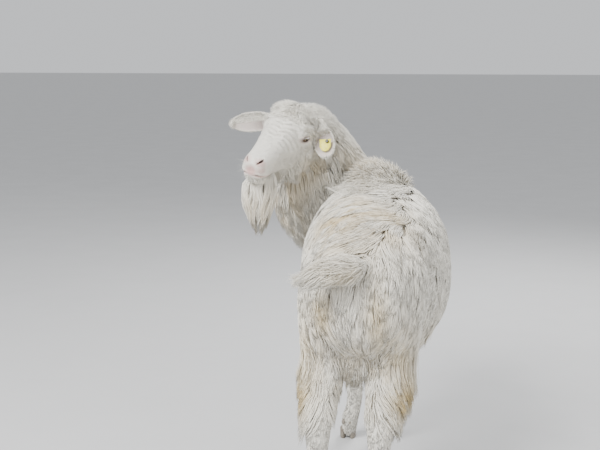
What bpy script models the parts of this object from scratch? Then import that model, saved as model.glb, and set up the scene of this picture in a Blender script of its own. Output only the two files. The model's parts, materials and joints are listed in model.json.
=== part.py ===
# Saanen goat, a bearded and hornless buck, standing and looking back over its left shoulder.
# Metres, +Z up. The body faces +Y and the animal's right side is +X.
# The flesh is lofted along the spine, neck and legs and fused into one soft form. Flat tapered
# locks are rooted all over it, and thin cuts part it into named nodes.

import math
import random

import bmesh
import bpy
import numpy as np
from mathutils import Matrix, Vector
from mathutils.bvhtree import BVHTree

# Driving dimensions
WITHERS = 0.965       # height of the flesh at the withers
HOCK = 0.32           # height of the hock joint
KNEE = 0.31           # height of the knee of the foreleg
HOOF = 0.036          # height of the hoof wall
GAP = 0.0003          # clearance between neighbouring nodes
CORE = 0.009          # depth of the dense undercoat, from which the locks grow
CREST_COAT = 1.8      # the undercoat along the crest of the neck against the rest
THROAT_COAT = 2.8     # the same along the throat
HEAD_SIZE = 1.11      # a large buck's head against the head that the skull stations draw
EYE_RADIUS = 0.0165
LOCK_SEED = 18          # the random draw of each node's locks
LOCK_SEEDS = {"tail": 16}

UP = Vector((0, 0, 1))
FORWARD = Vector((0, 1, 0))
RIGHT = Vector((1, 0, 0))

# The trunk, from the pin bones to the breast: place along Y, middle X, middle Z,
# half width, rise to the back, drop to the belly. The spine bends a little to the left in front.
TRUNK = [
    (-0.515, 0.022, 0.715, 0.055, 0.050, 0.060),
    (-0.480, 0.022, 0.710, 0.112, 0.110, 0.125),
    (-0.390, 0.020, 0.700, 0.146, 0.175, 0.180),
    (-0.280, 0.020, 0.690, 0.172, 0.215, 0.190),
    (-0.150, 0.020, 0.680, 0.208, 0.243, 0.225),
    (-0.020, 0.022, 0.680, 0.230, 0.258, 0.243),
    (0.110, 0.012, 0.685, 0.224, WITHERS - 0.690, 0.235),
    (0.220, -0.012, 0.695, 0.184, WITHERS - 0.695, 0.215),
    (0.310, -0.045, 0.700, 0.148, 0.215, 0.185),
    (0.380, -0.065, 0.690, 0.105, 0.130, 0.130),
    (0.420, -0.075, 0.680, 0.050, 0.060, 0.065),
]
TRUNK_SQUARE = 2.3    # above 2 the cross section is fuller than an ellipse

# The neck, from inside the trunk to inside the skull: crest point, throat point, half width.
NECK = [
    ((-0.005, 0.205, 0.915), (-0.110, 0.395, 0.640), 0.130),
    ((-0.028, 0.275, 0.965), (-0.262, 0.345, 0.735), 0.128),
    ((-0.072, 0.305, 1.022), (-0.328, 0.298, 0.818), 0.114),
    ((-0.118, 0.295, 1.092), (-0.334, 0.248, 0.900), 0.102),
    ((-0.168, 0.260, 1.152), (-0.310, 0.210, 0.965), 0.092),
    ((-0.200, 0.214, 1.190), (-0.306, 0.165, 1.003), 0.086),
    ((-0.230, 0.150, 1.198), (-0.302, 0.110, 1.035), 0.076),
]

# Legs, from the body down: height, place along Y, half width across, half depth in front and behind.
HIND_LEG = [
    (0.760, -0.370, 0.060, 0.090, 0.080),
    (0.680, -0.360, 0.076, 0.125, 0.100),
    (0.590, -0.345, 0.074, 0.125, 0.108),
    (0.510, -0.345, 0.064, 0.098, 0.090),
    (0.435, -0.385, 0.050, 0.066, 0.062),
    (0.375, -0.435, 0.041, 0.048, 0.050),
    (HOCK, -0.467, 0.037, 0.039, 0.043),
    (0.270, -0.468, 0.031, 0.032, 0.034),
    (0.190, -0.460, 0.025, 0.027, 0.028),
    (0.120, -0.453, 0.024, 0.026, 0.028),
    (0.085, -0.447, 0.028, 0.028, 0.032),
    (0.055, -0.436, 0.026, 0.027, 0.029),
    (0.020, -0.430, 0.029, 0.034, 0.030),
]
FORE_LEG = [
    (0.720, 0.270, 0.055, 0.080, 0.080),
    (0.620, 0.250, 0.062, 0.080, 0.080),
    (0.530, 0.220, 0.055, 0.064, 0.068),
    (0.450, 0.225, 0.044, 0.050, 0.053),
    (0.375, 0.235, 0.036, 0.040, 0.040),
    (KNEE, 0.242, 0.036, 0.037, 0.035),
    (0.260, 0.242, 0.029, 0.030, 0.029),
    (0.180, 0.243, 0.026, 0.026, 0.026),
    (0.120, 0.246, 0.025, 0.026, 0.027),
    (0.085, 0.250, 0.028, 0.028, 0.031),
    (0.055, 0.260, 0.026, 0.027, 0.028),
    (0.020, 0.268, 0.029, 0.034, 0.029),
]
# Each leg's stations and its line across the body: X at some heights. The right forefoot stands
# under the chest and the left one a little out from it.
LEGS = {
    "hind_leg_left": (HIND_LEG, [(0.00, -0.100), (0.26, -0.099), (0.375, -0.095), (0.76, -0.080)]),
    "hind_leg_right": (HIND_LEG, [(0.00, 0.082), (0.26, 0.082), (0.375, 0.086), (0.59, 0.105), (0.76, 0.100)]),
    "fore_leg_left": (FORE_LEG, [(0.00, -0.100), (0.09, -0.088), (0.15, -0.070), (0.31, -0.082),
                                 (0.50, -0.125), (0.72, -0.125)]),
    "fore_leg_right": (FORE_LEG, [(0.00, 0.030), (0.31, 0.040), (0.50, 0.080), (0.72, 0.060)]),
}
# Haunches and shoulders, and the soft fold between the thighs: centre and radii.
MUSCLES = [
    ((-0.078, -0.330, 0.705), (0.082, 0.120, 0.140)),
    ((0.112, -0.330, 0.700), (0.085, 0.120, 0.140)),
    ((-0.125, 0.235, 0.680), (0.070, 0.105, 0.150)),
    ((0.080, 0.235, 0.680), (0.070, 0.105, 0.150)),
    ((0.000, -0.370, 0.545), (0.070, 0.055, 0.090)),
]

# The dock of the tail, from inside the rump out and round to the left: place, half width, half depth.
TAIL = [
    ((0.020, -0.430, 0.785), 0.034, 0.030),
    ((0.018, -0.490, 0.803), 0.030, 0.026),
    ((0.004, -0.535, 0.812), 0.026, 0.021),
    ((-0.025, -0.562, 0.813), 0.022, 0.018),
    ((-0.060, -0.575, 0.802), 0.017, 0.015),
    ((-0.092, -0.580, 0.785), 0.007, 0.006),
]

# The head in its own frame, before it is scaled: +X to the nose, +Y to its left ear, +Z to the
# forehead, and the origin half way between the eyes. Place X, middle Z, half width, rise, drop.
SKULL = [
    (-0.130, -0.035, 0.042, 0.048, 0.045),
    (-0.108, -0.030, 0.064, 0.082, 0.068),
    (-0.072, -0.030, 0.078, 0.100, 0.080),
    (-0.032, -0.030, 0.080, 0.103, 0.087),
    (0.000, -0.030, 0.074, 0.093, 0.087),
    (0.032, -0.033, 0.063, 0.075, 0.081),
    (0.070, -0.040, 0.052, 0.059, 0.070),
    (0.110, -0.050, 0.044, 0.047, 0.059),
    (0.148, -0.060, 0.039, 0.038, 0.049),
    (0.176, -0.066, 0.036, 0.034, 0.043),
    (0.192, -0.069, 0.030, 0.028, 0.035),
    (0.201, -0.071, 0.018, 0.016, 0.020),
]
# Muscle and bone that stand out of the skull's loft, on both sides: centre and radii.
CHEEK = ((-0.035, 0.044, -0.062), (0.058, 0.030, 0.052))
ORBIT = ((-0.002, 0.046, 0.006), (0.038, 0.026, 0.030))
CHEEKBONE = ((0.012, 0.040, -0.026), (0.062, 0.026, 0.024))
UPPER_LIP = ((0.158, 0.020, -0.076), (0.036, 0.021, 0.020))
NOSE_PAD = ((0.180, 0.010, -0.052), (0.021, 0.018, 0.018))
CHIN = ((0.148, 0.008, -0.108), (0.032, 0.019, 0.013))
EYE = Vector((0.000, 0.0565, 0.006))
EYE_SLIT = (0.0160, 0.0120, 0.0046)
MOUTH_LINE = [(0.112, 0.046, -0.082), (0.140, 0.044, -0.088), (0.170, 0.036, -0.090), (0.192, 0.018, -0.088)]
NOSTRIL = Vector((0.1915, 0.0200, -0.0470))
HEAD_PLACE = Vector((-0.293, 0.060, 1.1245))
HEAD_TURN = (math.radians(167), math.radians(4), math.radians(-15.5))  # yaw from +Y, nose down, roll

# The undercoat of the beard, against the chin: place, half width, depth in front and behind.
BEARD = [(0.000, 0.000, 0.010, 0.030, 0.044, 0.034), (-0.012, 0.008, -0.045, 0.036, 0.030, 0.032),
         (-0.016, 0.014, -0.085, 0.014, 0.012, 0.014)]
# The undercoat over the poll in the head's frame, and under the mane: centre and radii.
POLL = ((-0.058, -0.004, 0.028), (0.070, 0.076, 0.062))
MANE = ((0.010, 0.180, 0.875), (0.115, 0.130, 0.125))

# The locks of each region: distance between roots, length, width, thickness, height of the tip over
# the undercoat, share of the length that hangs free at the end, and the wave's turn in radians.
LOCKS = {
    "back": (0.108, 0.220, 0.096, 0.016, 0.022, 0.0, 0.50),
    "flank": (0.112, 0.180, 0.094, 0.016, 0.022, 0.0, 0.35),
    "rump": (0.088, 0.150, 0.078, 0.016, 0.020, 0.0, 0.30),
    "belly": (0.130, 0.130, 0.084, 0.015, 0.020, 0.0, 0.20),
    "breast": (0.094, 0.180, 0.080, 0.016, 0.026, 0.2, 0.30),
    "mane": (0.056, 0.100, 0.052, 0.016, 0.000, 1.0, 0.30),
    "crest": (0.066, 0.130, 0.066, 0.016, 0.026, 0.0, 0.25),
    "neck": (0.088, 0.160, 0.076, 0.015, 0.018, 0.0, 0.35),
    "throat": (0.074, 0.160, 0.066, 0.015, 0.030, 0.0, 0.30),
    "thigh": (0.080, 0.150, 0.070, 0.015, 0.020, 0.0, 0.30),
    "breeches": (0.056, 0.190, 0.050, 0.015, 0.034, 0.5, 0.25),
    "tail": (0.031, 0.105, 0.040, 0.013, 0.016, 0.7, 0.30),
    "poll": (0.040, 0.075, 0.050, 0.013, 0.020, 0.0, 0.30),
    "nape": (0.056, 0.075, 0.060, 0.014, 0.016, 0.0, 0.20),
    "cheek": (0.050, 0.070, 0.050, 0.011, 0.010, 0.0, 0.20),
    "jaw": (0.044, 0.080, 0.040, 0.012, 0.018, 0.4, 0.20),
}
LOCK_STATIONS = (0.0, 0.30, 0.66, 1.0)
LOCK_WIDTHS = (0.62, 1.00, 0.74)
LOCK_RISE = (0.0, 0.65, 0.92, 1.0)
ROOT_DEPTH = 0.011      # how far the middle of a lock's root is sunk
LOCK_MARGIN = 0.001     # least distance between a lock and a cut
ROOT_MARGIN = 0.012     # least distance between a lock's root and a cut
# Which way the free end of a lock is drawn: down, but up at the mane and out along the tail.
PULL = {"mane": Vector((0.75, -0.55, 1.70)), "tail": Vector((-1.60, -0.20, -0.55))}
FALL = Vector((0, 0, -2))
# The beard's locks: how many, their shares of the full length, and how far they spread at the tips.
BEARD_LOCKS = ((9, 0.80, 1.0), (5, 1.00, 0.45))
BEARD_LENGTH = 0.205
BEARD_SPREAD = Vector((0.056, 0.036, 0))

# Ears in the head's frame: share of the length, half width, half thickness.
EAR_SHAPE = [(-0.14, 0.013, 0.013), (0.12, 0.021, 0.014), (0.35, 0.030, 0.012), (0.60, 0.031, 0.010),
             (0.82, 0.024, 0.008), (0.95, 0.014, 0.006), (1.00, 0.006, 0.004)]
EAR_WALL = 0.0036
CUP = (0.20, 0.955)     # shares of the ear's length between which it is hollow
CUP_RIM = 0.004         # how far the tool that hollows it stands out of its front
# Root, direction the ear points, the way its cup opens, its length, and its bend towards the opening.
# The right ear is held out and the left one droops.
EARS = {
    "ear_left": (Vector((-0.080, 0.074, 0.040)), Vector((0.42, 0.60, -0.72)), Vector((0.90, 0.00, 0.45)),
                 0.114, 0.15),
    "ear_right": (Vector((-0.076, -0.066, 0.014)), Vector((0.18, -0.91, -0.32)), Vector((0.94, 0.25, -0.12)),
                  0.144, 0.06),
}
TAG_PLACE = 0.56        # share of the left ear's length where the tag's pin goes through
TAG_OFFSET = 0.013      # the pin's place towards the ear's rear edge
TAG_WIDTH = 0.038
TAG_HEIGHT = 0.042
TAG_THICK = 0.0016
TAG_LEAN = math.radians(-14)
PIN_RADIUS = 0.0024
BUTTON_RADIUS = 0.0105
STUD_RADIUS = 0.0056

# Cuts between the nodes: a point and the way into the node.
NECK_BASE = (Vector((-0.149, 0.320, 0.8735)), Vector((-0.62, 0.35, 0.70)).normalized())
NECK_TOP = (Vector((-0.2625, 0.209, 1.066)), Vector((-0.28, -0.78, 0.56)).normalized())
HIND_TOP = (Vector((0, -0.345, 0.545)), Vector((0, -0.33, -0.94)).normalized())
HIND_FRONT = (Vector((0, -0.215, 0)), -FORWARD)
HOCK_CUT = (Vector((0, 0, HOCK + 0.030)), UP)
FORE_TOP = (Vector((0, 0, 0.430)), -UP)
FORE_BACK = (Vector((0, 0.130, 0)), FORWARD)
SOLE_CUT = (Vector((0, 0, HOOF)), UP)
HIND_SIDES = (-0.042, 0.036)
FORE_SIDES = -0.026
TAIL_CUT = (Vector((0.010, -0.514, 0.810)), Vector((-0.15, -0.98, 0.08)).normalized())
TAIL_FLOOR = (Vector((0, 0, 0.690)), UP)
TAIL_SIDES = ((RIGHT * -0.190, RIGHT), (RIGHT * 0.065, -RIGHT))

COLOURS = {
    "coat": (0.86, 0.84, 0.78, 0.75),
    "skin": (0.80, 0.62, 0.57, 0.60),
    "eye": (0.12, 0.08, 0.05, 0.10),
    "horn": (0.16, 0.13, 0.10, 0.50),
    "tag": (0.85, 0.80, 0.12, 0.45),
    "stud": (0.02, 0.02, 0.02, 0.40),
}


def clear_scene():
    for obj in list(bpy.data.objects):
        bpy.data.objects.remove(obj, do_unlink=True)


def new_object(name, mesh, collection):
    obj = bpy.data.objects.new(name, mesh)
    collection.objects.link(obj)
    return obj


def mesh_from(name, vertices, faces):
    mesh = bpy.data.meshes.new(name)
    mesh.from_pydata([tuple(v) for v in vertices], [], faces)
    work = bmesh.new()
    work.from_mesh(mesh)
    bmesh.ops.recalc_face_normals(work, faces=work.faces)
    work.to_mesh(mesh)
    work.free()
    return mesh


def smooth_rows(rows, steps):
    """Catmull-Rom through the rows of numbers, with this many steps between each pair."""
    rows = np.array(rows, float)
    padded = np.vstack([2 * rows[0] - rows[1], rows, 2 * rows[-1] - rows[-2]])
    out = []
    for i in range(1, len(padded) - 2):
        a, b, c, d = padded[i - 1 : i + 3]
        for k in range(steps):
            t = k / steps
            out.append(0.5 * (2 * b + (c - a) * t + (2 * a - 5 * b + 4 * c - d) * t * t
                              + (3 * b - a - 3 * c + d) * t ** 3))
    out.append(rows[-1])
    return np.array(out)


def ring(centre, side, up, width, rise, drop, square, count):
    """Points of a rounded cross section that may be higher above its middle than below."""
    points = []
    for k in range(count):
        angle = 2 * math.pi * k / count
        c, s = math.cos(angle), math.sin(angle)
        across = width * math.copysign(abs(c) ** (2 / square), c)
        along = (rise if s >= 0 else drop) * math.copysign(abs(s) ** (2 / square), s)
        points.append(centre + side * across + up * along)
    return points


def skin_rings(name, rings):
    """A closed mesh over a row of rings, each end closed by one face."""
    count = len(rings[0])
    vertices = [p for points in rings for p in points]
    faces = []
    for i in range(len(rings) - 1):
        for k in range(count):
            a, b = i * count + k, i * count + (k + 1) % count
            faces.append((a, b, b + count, a + count))
    faces.append(tuple(reversed(range(count))))
    last = (len(rings) - 1) * count
    faces.append(tuple(range(last, last + count)))
    return mesh_from(name, vertices, faces)


def loft(name, rows, top, count=24, steps=4, square=2.0, extra=0.0):
    """A body over stations of (x, y, z, half width, rise, drop). top is the way that rise points."""
    rows = smooth_rows(rows, steps)
    centres = [Vector(r[:3]) for r in rows]
    rings = []
    for i, row in enumerate(rows):
        along = (centres[min(i + 1, len(rows) - 1)] - centres[max(i - 1, 0)]).normalized()
        up = (top - along * top.dot(along)).normalized()
        side = along.cross(up)
        width, rise, drop = (max(v, 0.001) + extra for v in row[3:6])
        rings.append(ring(centres[i], side, up, width, rise, drop, square, count))
    return skin_rings(name, rings)


def ellipsoid(name, centre, radii, segments=20, rows=12, turn=None):
    mesh = bpy.data.meshes.new(name)
    work = bmesh.new()
    bmesh.ops.create_uvsphere(work, u_segments=segments, v_segments=rows, radius=1.0)
    work.transform(Matrix.Diagonal((*radii, 1)))
    if turn:
        work.transform(turn.to_4x4())
    work.transform(Matrix.Translation(centre))
    work.to_mesh(mesh)
    work.free()
    return mesh


def joined(name, meshes, collection):
    work = bmesh.new()
    for mesh in meshes:
        work.from_mesh(mesh)
    mesh = bpy.data.meshes.new(name)
    work.to_mesh(mesh)
    work.free()
    return new_object(name, mesh, collection)


def evaluated_mesh(obj, name):
    """The object's mesh with its modifiers applied, as new data."""
    bpy.context.view_layer.update()
    graph = bpy.context.evaluated_depsgraph_get()
    mesh = bpy.data.meshes.new_from_object(obj.evaluated_get(graph))
    mesh.name = name
    return mesh


def soft_union(name, meshes, voxel, rounds, triangles):
    """Overlapping closed meshes as one smooth closed mesh of about this many triangles."""
    scratch = bpy.context.scene.collection
    obj = joined(name, meshes, scratch)
    remesh = obj.modifiers.new("fuse", "REMESH")
    remesh.mode = "VOXEL"
    remesh.voxel_size = voxel
    smooth = obj.modifiers.new("soften", "SMOOTH")
    smooth.factor = 0.5
    smooth.iterations = rounds
    fine = evaluated_mesh(obj, name)
    bpy.data.objects.remove(obj)
    obj = new_object(name, fine, scratch)
    thin = obj.modifiers.new("thin", "DECIMATE")
    thin.ratio = min(1.0, triangles / (2 * len(fine.polygons)))
    thin.use_collapse_triangulate = True
    mesh = evaluated_mesh(obj, name)
    bpy.data.objects.remove(obj)
    return mesh


def boolean(obj, others, operation, solver="MANIFOLD"):
    """Applies one Boolean with all the other meshes to obj, in place."""
    pieces = bpy.data.collections.new("pieces")
    bpy.context.scene.collection.children.link(pieces)
    for i, mesh in enumerate(others):
        new_object(f"piece_{i}", mesh, pieces)
    modifier = obj.modifiers.new(operation, "BOOLEAN")
    modifier.operation = operation
    modifier.solver = solver
    modifier.operand_type = "COLLECTION"
    modifier.collection = pieces
    mesh = evaluated_mesh(obj, obj.name)
    obj.modifiers.clear()
    obj.data = mesh
    for piece in list(pieces.objects):
        bpy.data.objects.remove(piece)
    bpy.data.collections.remove(pieces)
    return obj


def face_groups(work):
    """The faces of each separate closed surface."""
    left = set(work.faces)
    groups = []
    while left:
        stack = [left.pop()]
        group = []
        while stack:
            face = stack.pop()
            group.append(face)
            for edge in face.edges:
                for other in edge.link_faces:
                    if other in left:
                        left.discard(other)
                        stack.append(other)
        groups.append(group)
    return groups


def group_volume(group):
    total = 0.0
    for face in group:
        a = face.verts[0].co
        for b, c in zip(face.verts[1:], face.verts[2:]):
            total += a.dot(b.co.cross(c.co)) / 6
    return total


def keep_largest(obj):
    """Drops all but the largest closed surface of the object."""
    work = bmesh.new()
    work.from_mesh(obj.data)
    groups = sorted(face_groups(work), key=group_volume)
    loose = [face for group in groups[:-1] for face in group]
    bmesh.ops.delete(work, geom=loose, context="FACES")
    work.to_mesh(obj.data)
    work.free()
    return obj


def cell(planes, size=4.0):
    """A closed block of space on the inner side of every plane, given as (point, inward normal)."""
    mesh = bpy.data.meshes.new("cell")
    work = bmesh.new()
    bmesh.ops.create_cube(work, size=size)
    for point, inward in planes:
        geometry = work.verts[:] + work.edges[:] + work.faces[:]
        cut = bmesh.ops.bisect_plane(work, geom=geometry, plane_co=point, plane_no=-Vector(inward),
                                     clear_outer=True)
        edges = [e for e in cut["geom_cut"] if isinstance(e, bmesh.types.BMEdge)]
        bmesh.ops.edgeloop_fill(work, edges=edges)
    bmesh.ops.recalc_face_normals(work, faces=work.faces)
    work.to_mesh(mesh)
    work.free()
    return mesh


def moved_planes(planes, by):
    """The same planes, each moved outwards by this much, which makes the cell larger."""
    return [(Vector(p) - Vector(n) * by, n) for p, n in planes]


def swollen(mesh, by):
    """A copy of a smooth closed mesh with its surface moved out along its normals."""
    copy = mesh.copy()
    for vertex, normal in zip(copy.vertices, [v.normal.copy() for v in mesh.vertices]):
        vertex.co += normal * by
    return copy


def tree_of(mesh):
    mesh.calc_loop_triangles()
    points = [v.co.copy() for v in mesh.vertices]
    return BVHTree.FromPolygons(points, [tuple(t.vertices) for t in mesh.loop_triangles])


def trunk_mesh():
    rows = [(x, y, z, width, rise, drop) for y, x, z, width, rise, drop in TRUNK]
    return loft("trunk", rows, UP, count=28, square=TRUNK_SQUARE, extra=CORE)


def neck_line(first=0):
    """Middle, way to the crest, half depth and half width along the neck from this station on."""
    line = []
    for row in smooth_rows([(*crest, *throat, width) for crest, throat, width in NECK[first:]], 4):
        half = (Vector(row[0:3]) - Vector(row[3:6])) / 2
        line.append(((Vector(row[0:3]) + Vector(row[3:6])) / 2, half.normalized(), half.length, row[6]))
    return line


def neck_mesh(first=0):
    line = neck_line(first)
    rings = []
    for i, (middle, up, depth, width) in enumerate(line):
        along = (line[min(i + 1, len(line) - 1)][0] - line[max(i - 1, 0)][0]).normalized()
        side = along.cross(up).normalized()
        rise, drop = depth + CORE * CREST_COAT, depth + CORE * THROAT_COAT
        rings.append(ring(middle, side, up, width + CORE, rise, drop, 2.0, 24))
    return skin_rings("neck", rings)


def leg_line(name, height):
    heights, places = zip(*LEGS[name][1])
    return float(np.interp(height, heights, places))


def leg_mesh(name):
    """A leg, whose undercoat is full at the thigh and gone below the hock or knee."""
    rows = []
    for z, y, width, front, back in LEGS[name][0]:
        fur = CORE * float(np.interp(z, (HOCK + 0.02, HOCK + 0.16), (0, 1)))
        rows.append((leg_line(name, z), y, z, width + fur, front + fur, back + fur))
    return loft(name, rows, FORWARD, count=16, steps=3)


def tail_mesh():
    rows = [(*place, width, depth, depth) for place, width, depth in TAIL]
    return loft("tail", rows, UP, count=12, steps=3, extra=CORE * 0.6)


def body_mesh(triangles):
    pieces = [trunk_mesh(), neck_mesh(), tail_mesh(), ellipsoid("mane", *MANE)]
    pieces += [ellipsoid("muscle", centre, [r + CORE for r in radii]) for centre, radii in MUSCLES]
    pieces += [leg_mesh(name) for name in LEGS]
    return soft_union("body", pieces, voxel=0.0080, rounds=5, triangles=triangles)


def lock_mesh(points, normals, width, thick, lean):
    """A flat tapered lock of three sides along points, its last point being the tip."""
    vertices = []
    for i, (point, normal) in enumerate(zip(points[:-1], normals)):
        along = points[min(i + 1, len(points) - 1)] - points[max(i - 1, 0)]
        across = along.cross(normal).normalized()
        up = across.cross(along).normalized()
        half, deep = width * LOCK_WIDTHS[i] / 2, thick * (0.6 + 0.4 * LOCK_WIDTHS[i])
        vertices += [point - across * half - up * deep * 0.35, point + across * half - up * deep * 0.35,
                     point + across * half * lean + up * deep * 0.65]
    tip = len(vertices)
    vertices.append(points[-1])
    faces = [(0, 1, 2), (tip - 3, tip - 2, tip), (tip - 2, tip - 1, tip), (tip - 1, tip - 3, tip)]
    for start in range(0, tip - 3, 3):
        for k in range(3):
            a, b = start + k, start + (k + 1) % 3
            faces += [(a, b, b + 3), (a, b + 3, a + 3)]
    return mesh_from("lock", vertices, faces)


def lock_path(tree, root, region, way, draw, shorter):
    """Points and normals of a lock that runs along the lie of the coat and hangs free at its end."""
    _, length, _, _, lift, hang, wave = LOCKS[region]
    pull = PULL.get(region, FALL)
    place, normal, _, _ = tree.find_nearest(root)
    phase = draw.uniform(0, 2 * math.pi)
    points, normals = [], []
    for i, share in enumerate(LOCK_STATIONS):
        height = LOCK_RISE[i] * lift - (ROOT_DEPTH if i == 0 else 0)
        points.append(place + normal * height)
        normals.append(normal)
        if i == len(LOCK_STATIONS) - 1:
            break
        step = length * shorter * (LOCK_STATIONS[i + 1] - share)
        turn = Matrix.Rotation(wave * math.sin(phase + share * 2 * math.pi), 3, normal)
        course = turn @ way(place, normal)
        if share >= 1 - hang - 0.01:
            place = place + (course + pull).normalized() * step
        else:
            place, normal, _, _ = tree.find_nearest(place + course * step)
    return points, normals


def inside(planes, point, margin):
    """Whether a point is in a cell, or within the margin of it."""
    return all((point - at).dot(inward) > -margin for at, inward in planes)


def fits(mesh, own, others):
    """Whether a lock past its root stays in its own cell and out of the others."""
    points = [v.co for v in mesh.vertices][3:]
    if any(not inside(own, p, -LOCK_MARGIN) for p in points):
        return False
    return not any(inside(planes, p, LOCK_MARGIN) for planes in others for p in points)


def scatter(mesh, region_of, draw, tries=9000):
    """Random places spread evenly over a mesh, each with the region of the coat it lies in."""
    mesh.calc_loop_triangles()
    corners = [[mesh.vertices[i].co for i in t.vertices] for t in mesh.loop_triangles]
    normals = [t.normal.copy() for t in mesh.loop_triangles]
    picks = draw.choices(range(len(corners)), weights=[t.area for t in mesh.loop_triangles], k=tries)
    chosen = []
    for index in picks:
        a, b, c = corners[index]
        u, v = sorted((draw.random(), draw.random()))
        place = a * u + b * (v - u) + c * (1 - v)
        region = region_of(place, normals[index])
        if region and all((place - other).length > LOCKS[region][0] for other, _ in chosen):
            chosen.append((place, region))
    return chosen


def draw_for(node):
    """The random draw of one node's locks."""
    return random.Random(LOCK_SEEDS.get(node, LOCK_SEED))


def grow_locks(mesh, region_of, way, own, others, draw):
    """Locks over a node, each made shorter until it stays clear of the neighbouring nodes."""
    tree = tree_of(mesh)
    locks = []
    for place, region in scatter(mesh, region_of, draw):
        sizes = LOCKS[region]
        size = draw.uniform(0.88, 1.15)
        lean = draw.uniform(-0.4, 0.4)
        seed = draw.random()
        for shorter in (1.0, 0.82, 0.66, 0.52):
            points, normals = lock_path(tree, place, region, way, random.Random(seed), size * shorter)
            lock = lock_mesh(points, normals, sizes[2] * size, sizes[3], lean)
            if fits(lock, own, others):
                locks.append(lock)
                break
    return locks


def spine_at(y):
    ys, xs = zip(*((row[0], row[1]) for row in TRUNK))
    return float(np.interp(y, ys, xs))


def neck_way(place):
    """The way from the head down the neck at the part of it nearest to a place."""
    middles = [middle for middle, _, _, _ in neck_line()]
    i = min(range(1, len(middles)), key=lambda k: (middles[k] - place).length)
    return (middles[i - 1] - middles[i]).normalized()


def body_way(place, normal):
    """The lie of the coat: back and down over the trunk, down the neck, straight down the thighs."""
    if place.z > 0.66 and place.x < -0.12 and place.y > 0.10 or place.y > 0.34:
        course = neck_way(place) * 0.5 - UP * 0.7
    elif place.y < -0.43 or place.z < 0.56:
        course = Vector((0.25 * (place.x - spine_at(place.y)) / 0.1, -0.15, -1.0))
    else:
        from_spine = max(-1.0, min(1.0, (place.x - spine_at(place.y)) / 0.06))
        course = Vector((0.75 * from_spine * max(normal.z, 0), -0.62, -0.55))
    course = course - normal * course.dot(normal)
    return course.normalized()


def neck_lie(place, normal):
    """Down the neck, and falling to the sides from its crest."""
    course = neck_way(place) - UP * 0.35
    course = course - normal * course.dot(normal)
    return course.normalized()


def tail_lie(place, normal):
    """Out along the dock, which is carried to the left."""
    course = Vector((-1.0, -0.25, -0.25))
    course = course - normal * course.dot(normal)
    return course.normalized()


def torso_region(place, normal):
    if place.z > 0.93 and 0.02 < place.y < 0.33 and abs(place.x) < 0.12:
        return "mane"
    if place.y > 0.30 and normal.z > -0.8:
        return "breast"
    if normal.z < -0.55:
        return "belly" if place.z < 0.52 else None
    if place.y < -0.40:
        return "rump" if place.z > 0.68 else "thigh"
    return "back" if normal.z > 0.45 or place.x < 0 else "flank"


def neck_region(place, normal):
    if normal.z > 0.45 or place.z > 1.10:
        return "crest"
    return "throat" if normal.z < -0.1 or place.x < -0.27 else "neck"


def hind_region(place, normal):
    if place.z < HOCK + 0.085 or abs(normal.z) > 0.85:
        return None
    outer = normal.x if place.x > 0 else -normal.x
    if outer < -0.35:
        return None
    return "breeches" if normal.y < 0.25 else "thigh"


def tail_region(place, normal):
    return "tail"


def head_matrix():
    """Takes a point of the head's own frame to its place on the animal."""
    yaw, pitch, roll = HEAD_TURN
    nose = Vector((-math.sin(yaw) * math.cos(pitch), math.cos(yaw) * math.cos(pitch), -math.sin(pitch)))
    left = Vector((-math.cos(yaw), -math.sin(yaw), 0))
    upright = nose.cross(left)
    left = left * math.cos(roll) + upright * math.sin(roll)
    upright = nose.cross(left)
    turn = Matrix((nose, left, upright)).transposed().to_4x4()
    return Matrix.Translation(HEAD_PLACE) @ turn @ Matrix.Scale(HEAD_SIZE, 4)


def placed(mesh, matrix):
    mesh.transform(matrix)
    return mesh


def both_sides(name, shape):
    (x, y, z), radii = shape
    return [ellipsoid(f"{name}{side}", (x, side * y, z), radii) for side in (1, -1)]


def chin_place(matrix):
    return matrix @ Vector((0.115, 0.0, -0.100))


def beard_core(matrix):
    """The undercoat of the beard, down to half way."""
    chin = chin_place(matrix)
    rows = [(chin.x + x, chin.y + y, chin.z + z, width, front, back) for x, y, z, width, front, back in BEARD]
    return loft("beard", rows, -FORWARD, count=14, steps=2)


def beard_locks(matrix, draw):
    """Two rings of long wavy locks that hang from the chin and close to a split tip."""
    chin = chin_place(matrix) + Vector(BEARD[0][:3])
    locks = []
    for count, share, spread in BEARD_LOCKS:
        for k in range(count):
            angle = 2 * math.pi * (k + draw.uniform(-0.2, 0.2)) / count
            out = Vector((math.cos(angle), math.sin(angle), 0))
            reach = Vector((out.x * BEARD_SPREAD.x, out.y * BEARD_SPREAD.y, 0)) * spread
            length = BEARD_LENGTH * share * draw.uniform(0.88, 1.06)
            wave = draw.uniform(0, 2 * math.pi)
            points = []
            for t in LOCK_STATIONS:
                swell = 0.5 * math.sin(math.pi * t)
                sway = out.cross(UP) * (0.007 * math.sin(wave + 5.5 * t))
                middle = Vector(BEARD[1][:2] + (0,)) * min(2 * t, 1.0)
                flare = reach * (0.5 + swell) * (1.0 - 0.15 * t * t)
                points.append(chin + middle + flare + sway - UP * length * t)
            width = draw.uniform(0.038, 0.046)
            locks.append(lock_mesh(points, [out] * len(points), width, 0.015, draw.uniform(-0.3, 0.3)))
    return locks


def head_region(matrix):
    """The region of a place on the head, whose face keeps its short hair."""
    back = matrix.inverted()

    def region(place, normal):
        q = back @ place
        if not inside([NECK_TOP], place, -ROOT_MARGIN):
            return None
        if q.x < -0.080:
            return "nape" if q.z > 0.0 else None
        if q.z > 0.052 and q.x < 0.012:
            return "poll"
        if q.x > -0.012 or (q - Vector((EYE.x, math.copysign(EYE.y, q.y), EYE.z))).length < 0.045:
            return "jaw" if q.z < -0.095 and q.x < 0.075 else None
        return "cheek" if abs(q.y) > 0.035 else None

    return region


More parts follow.
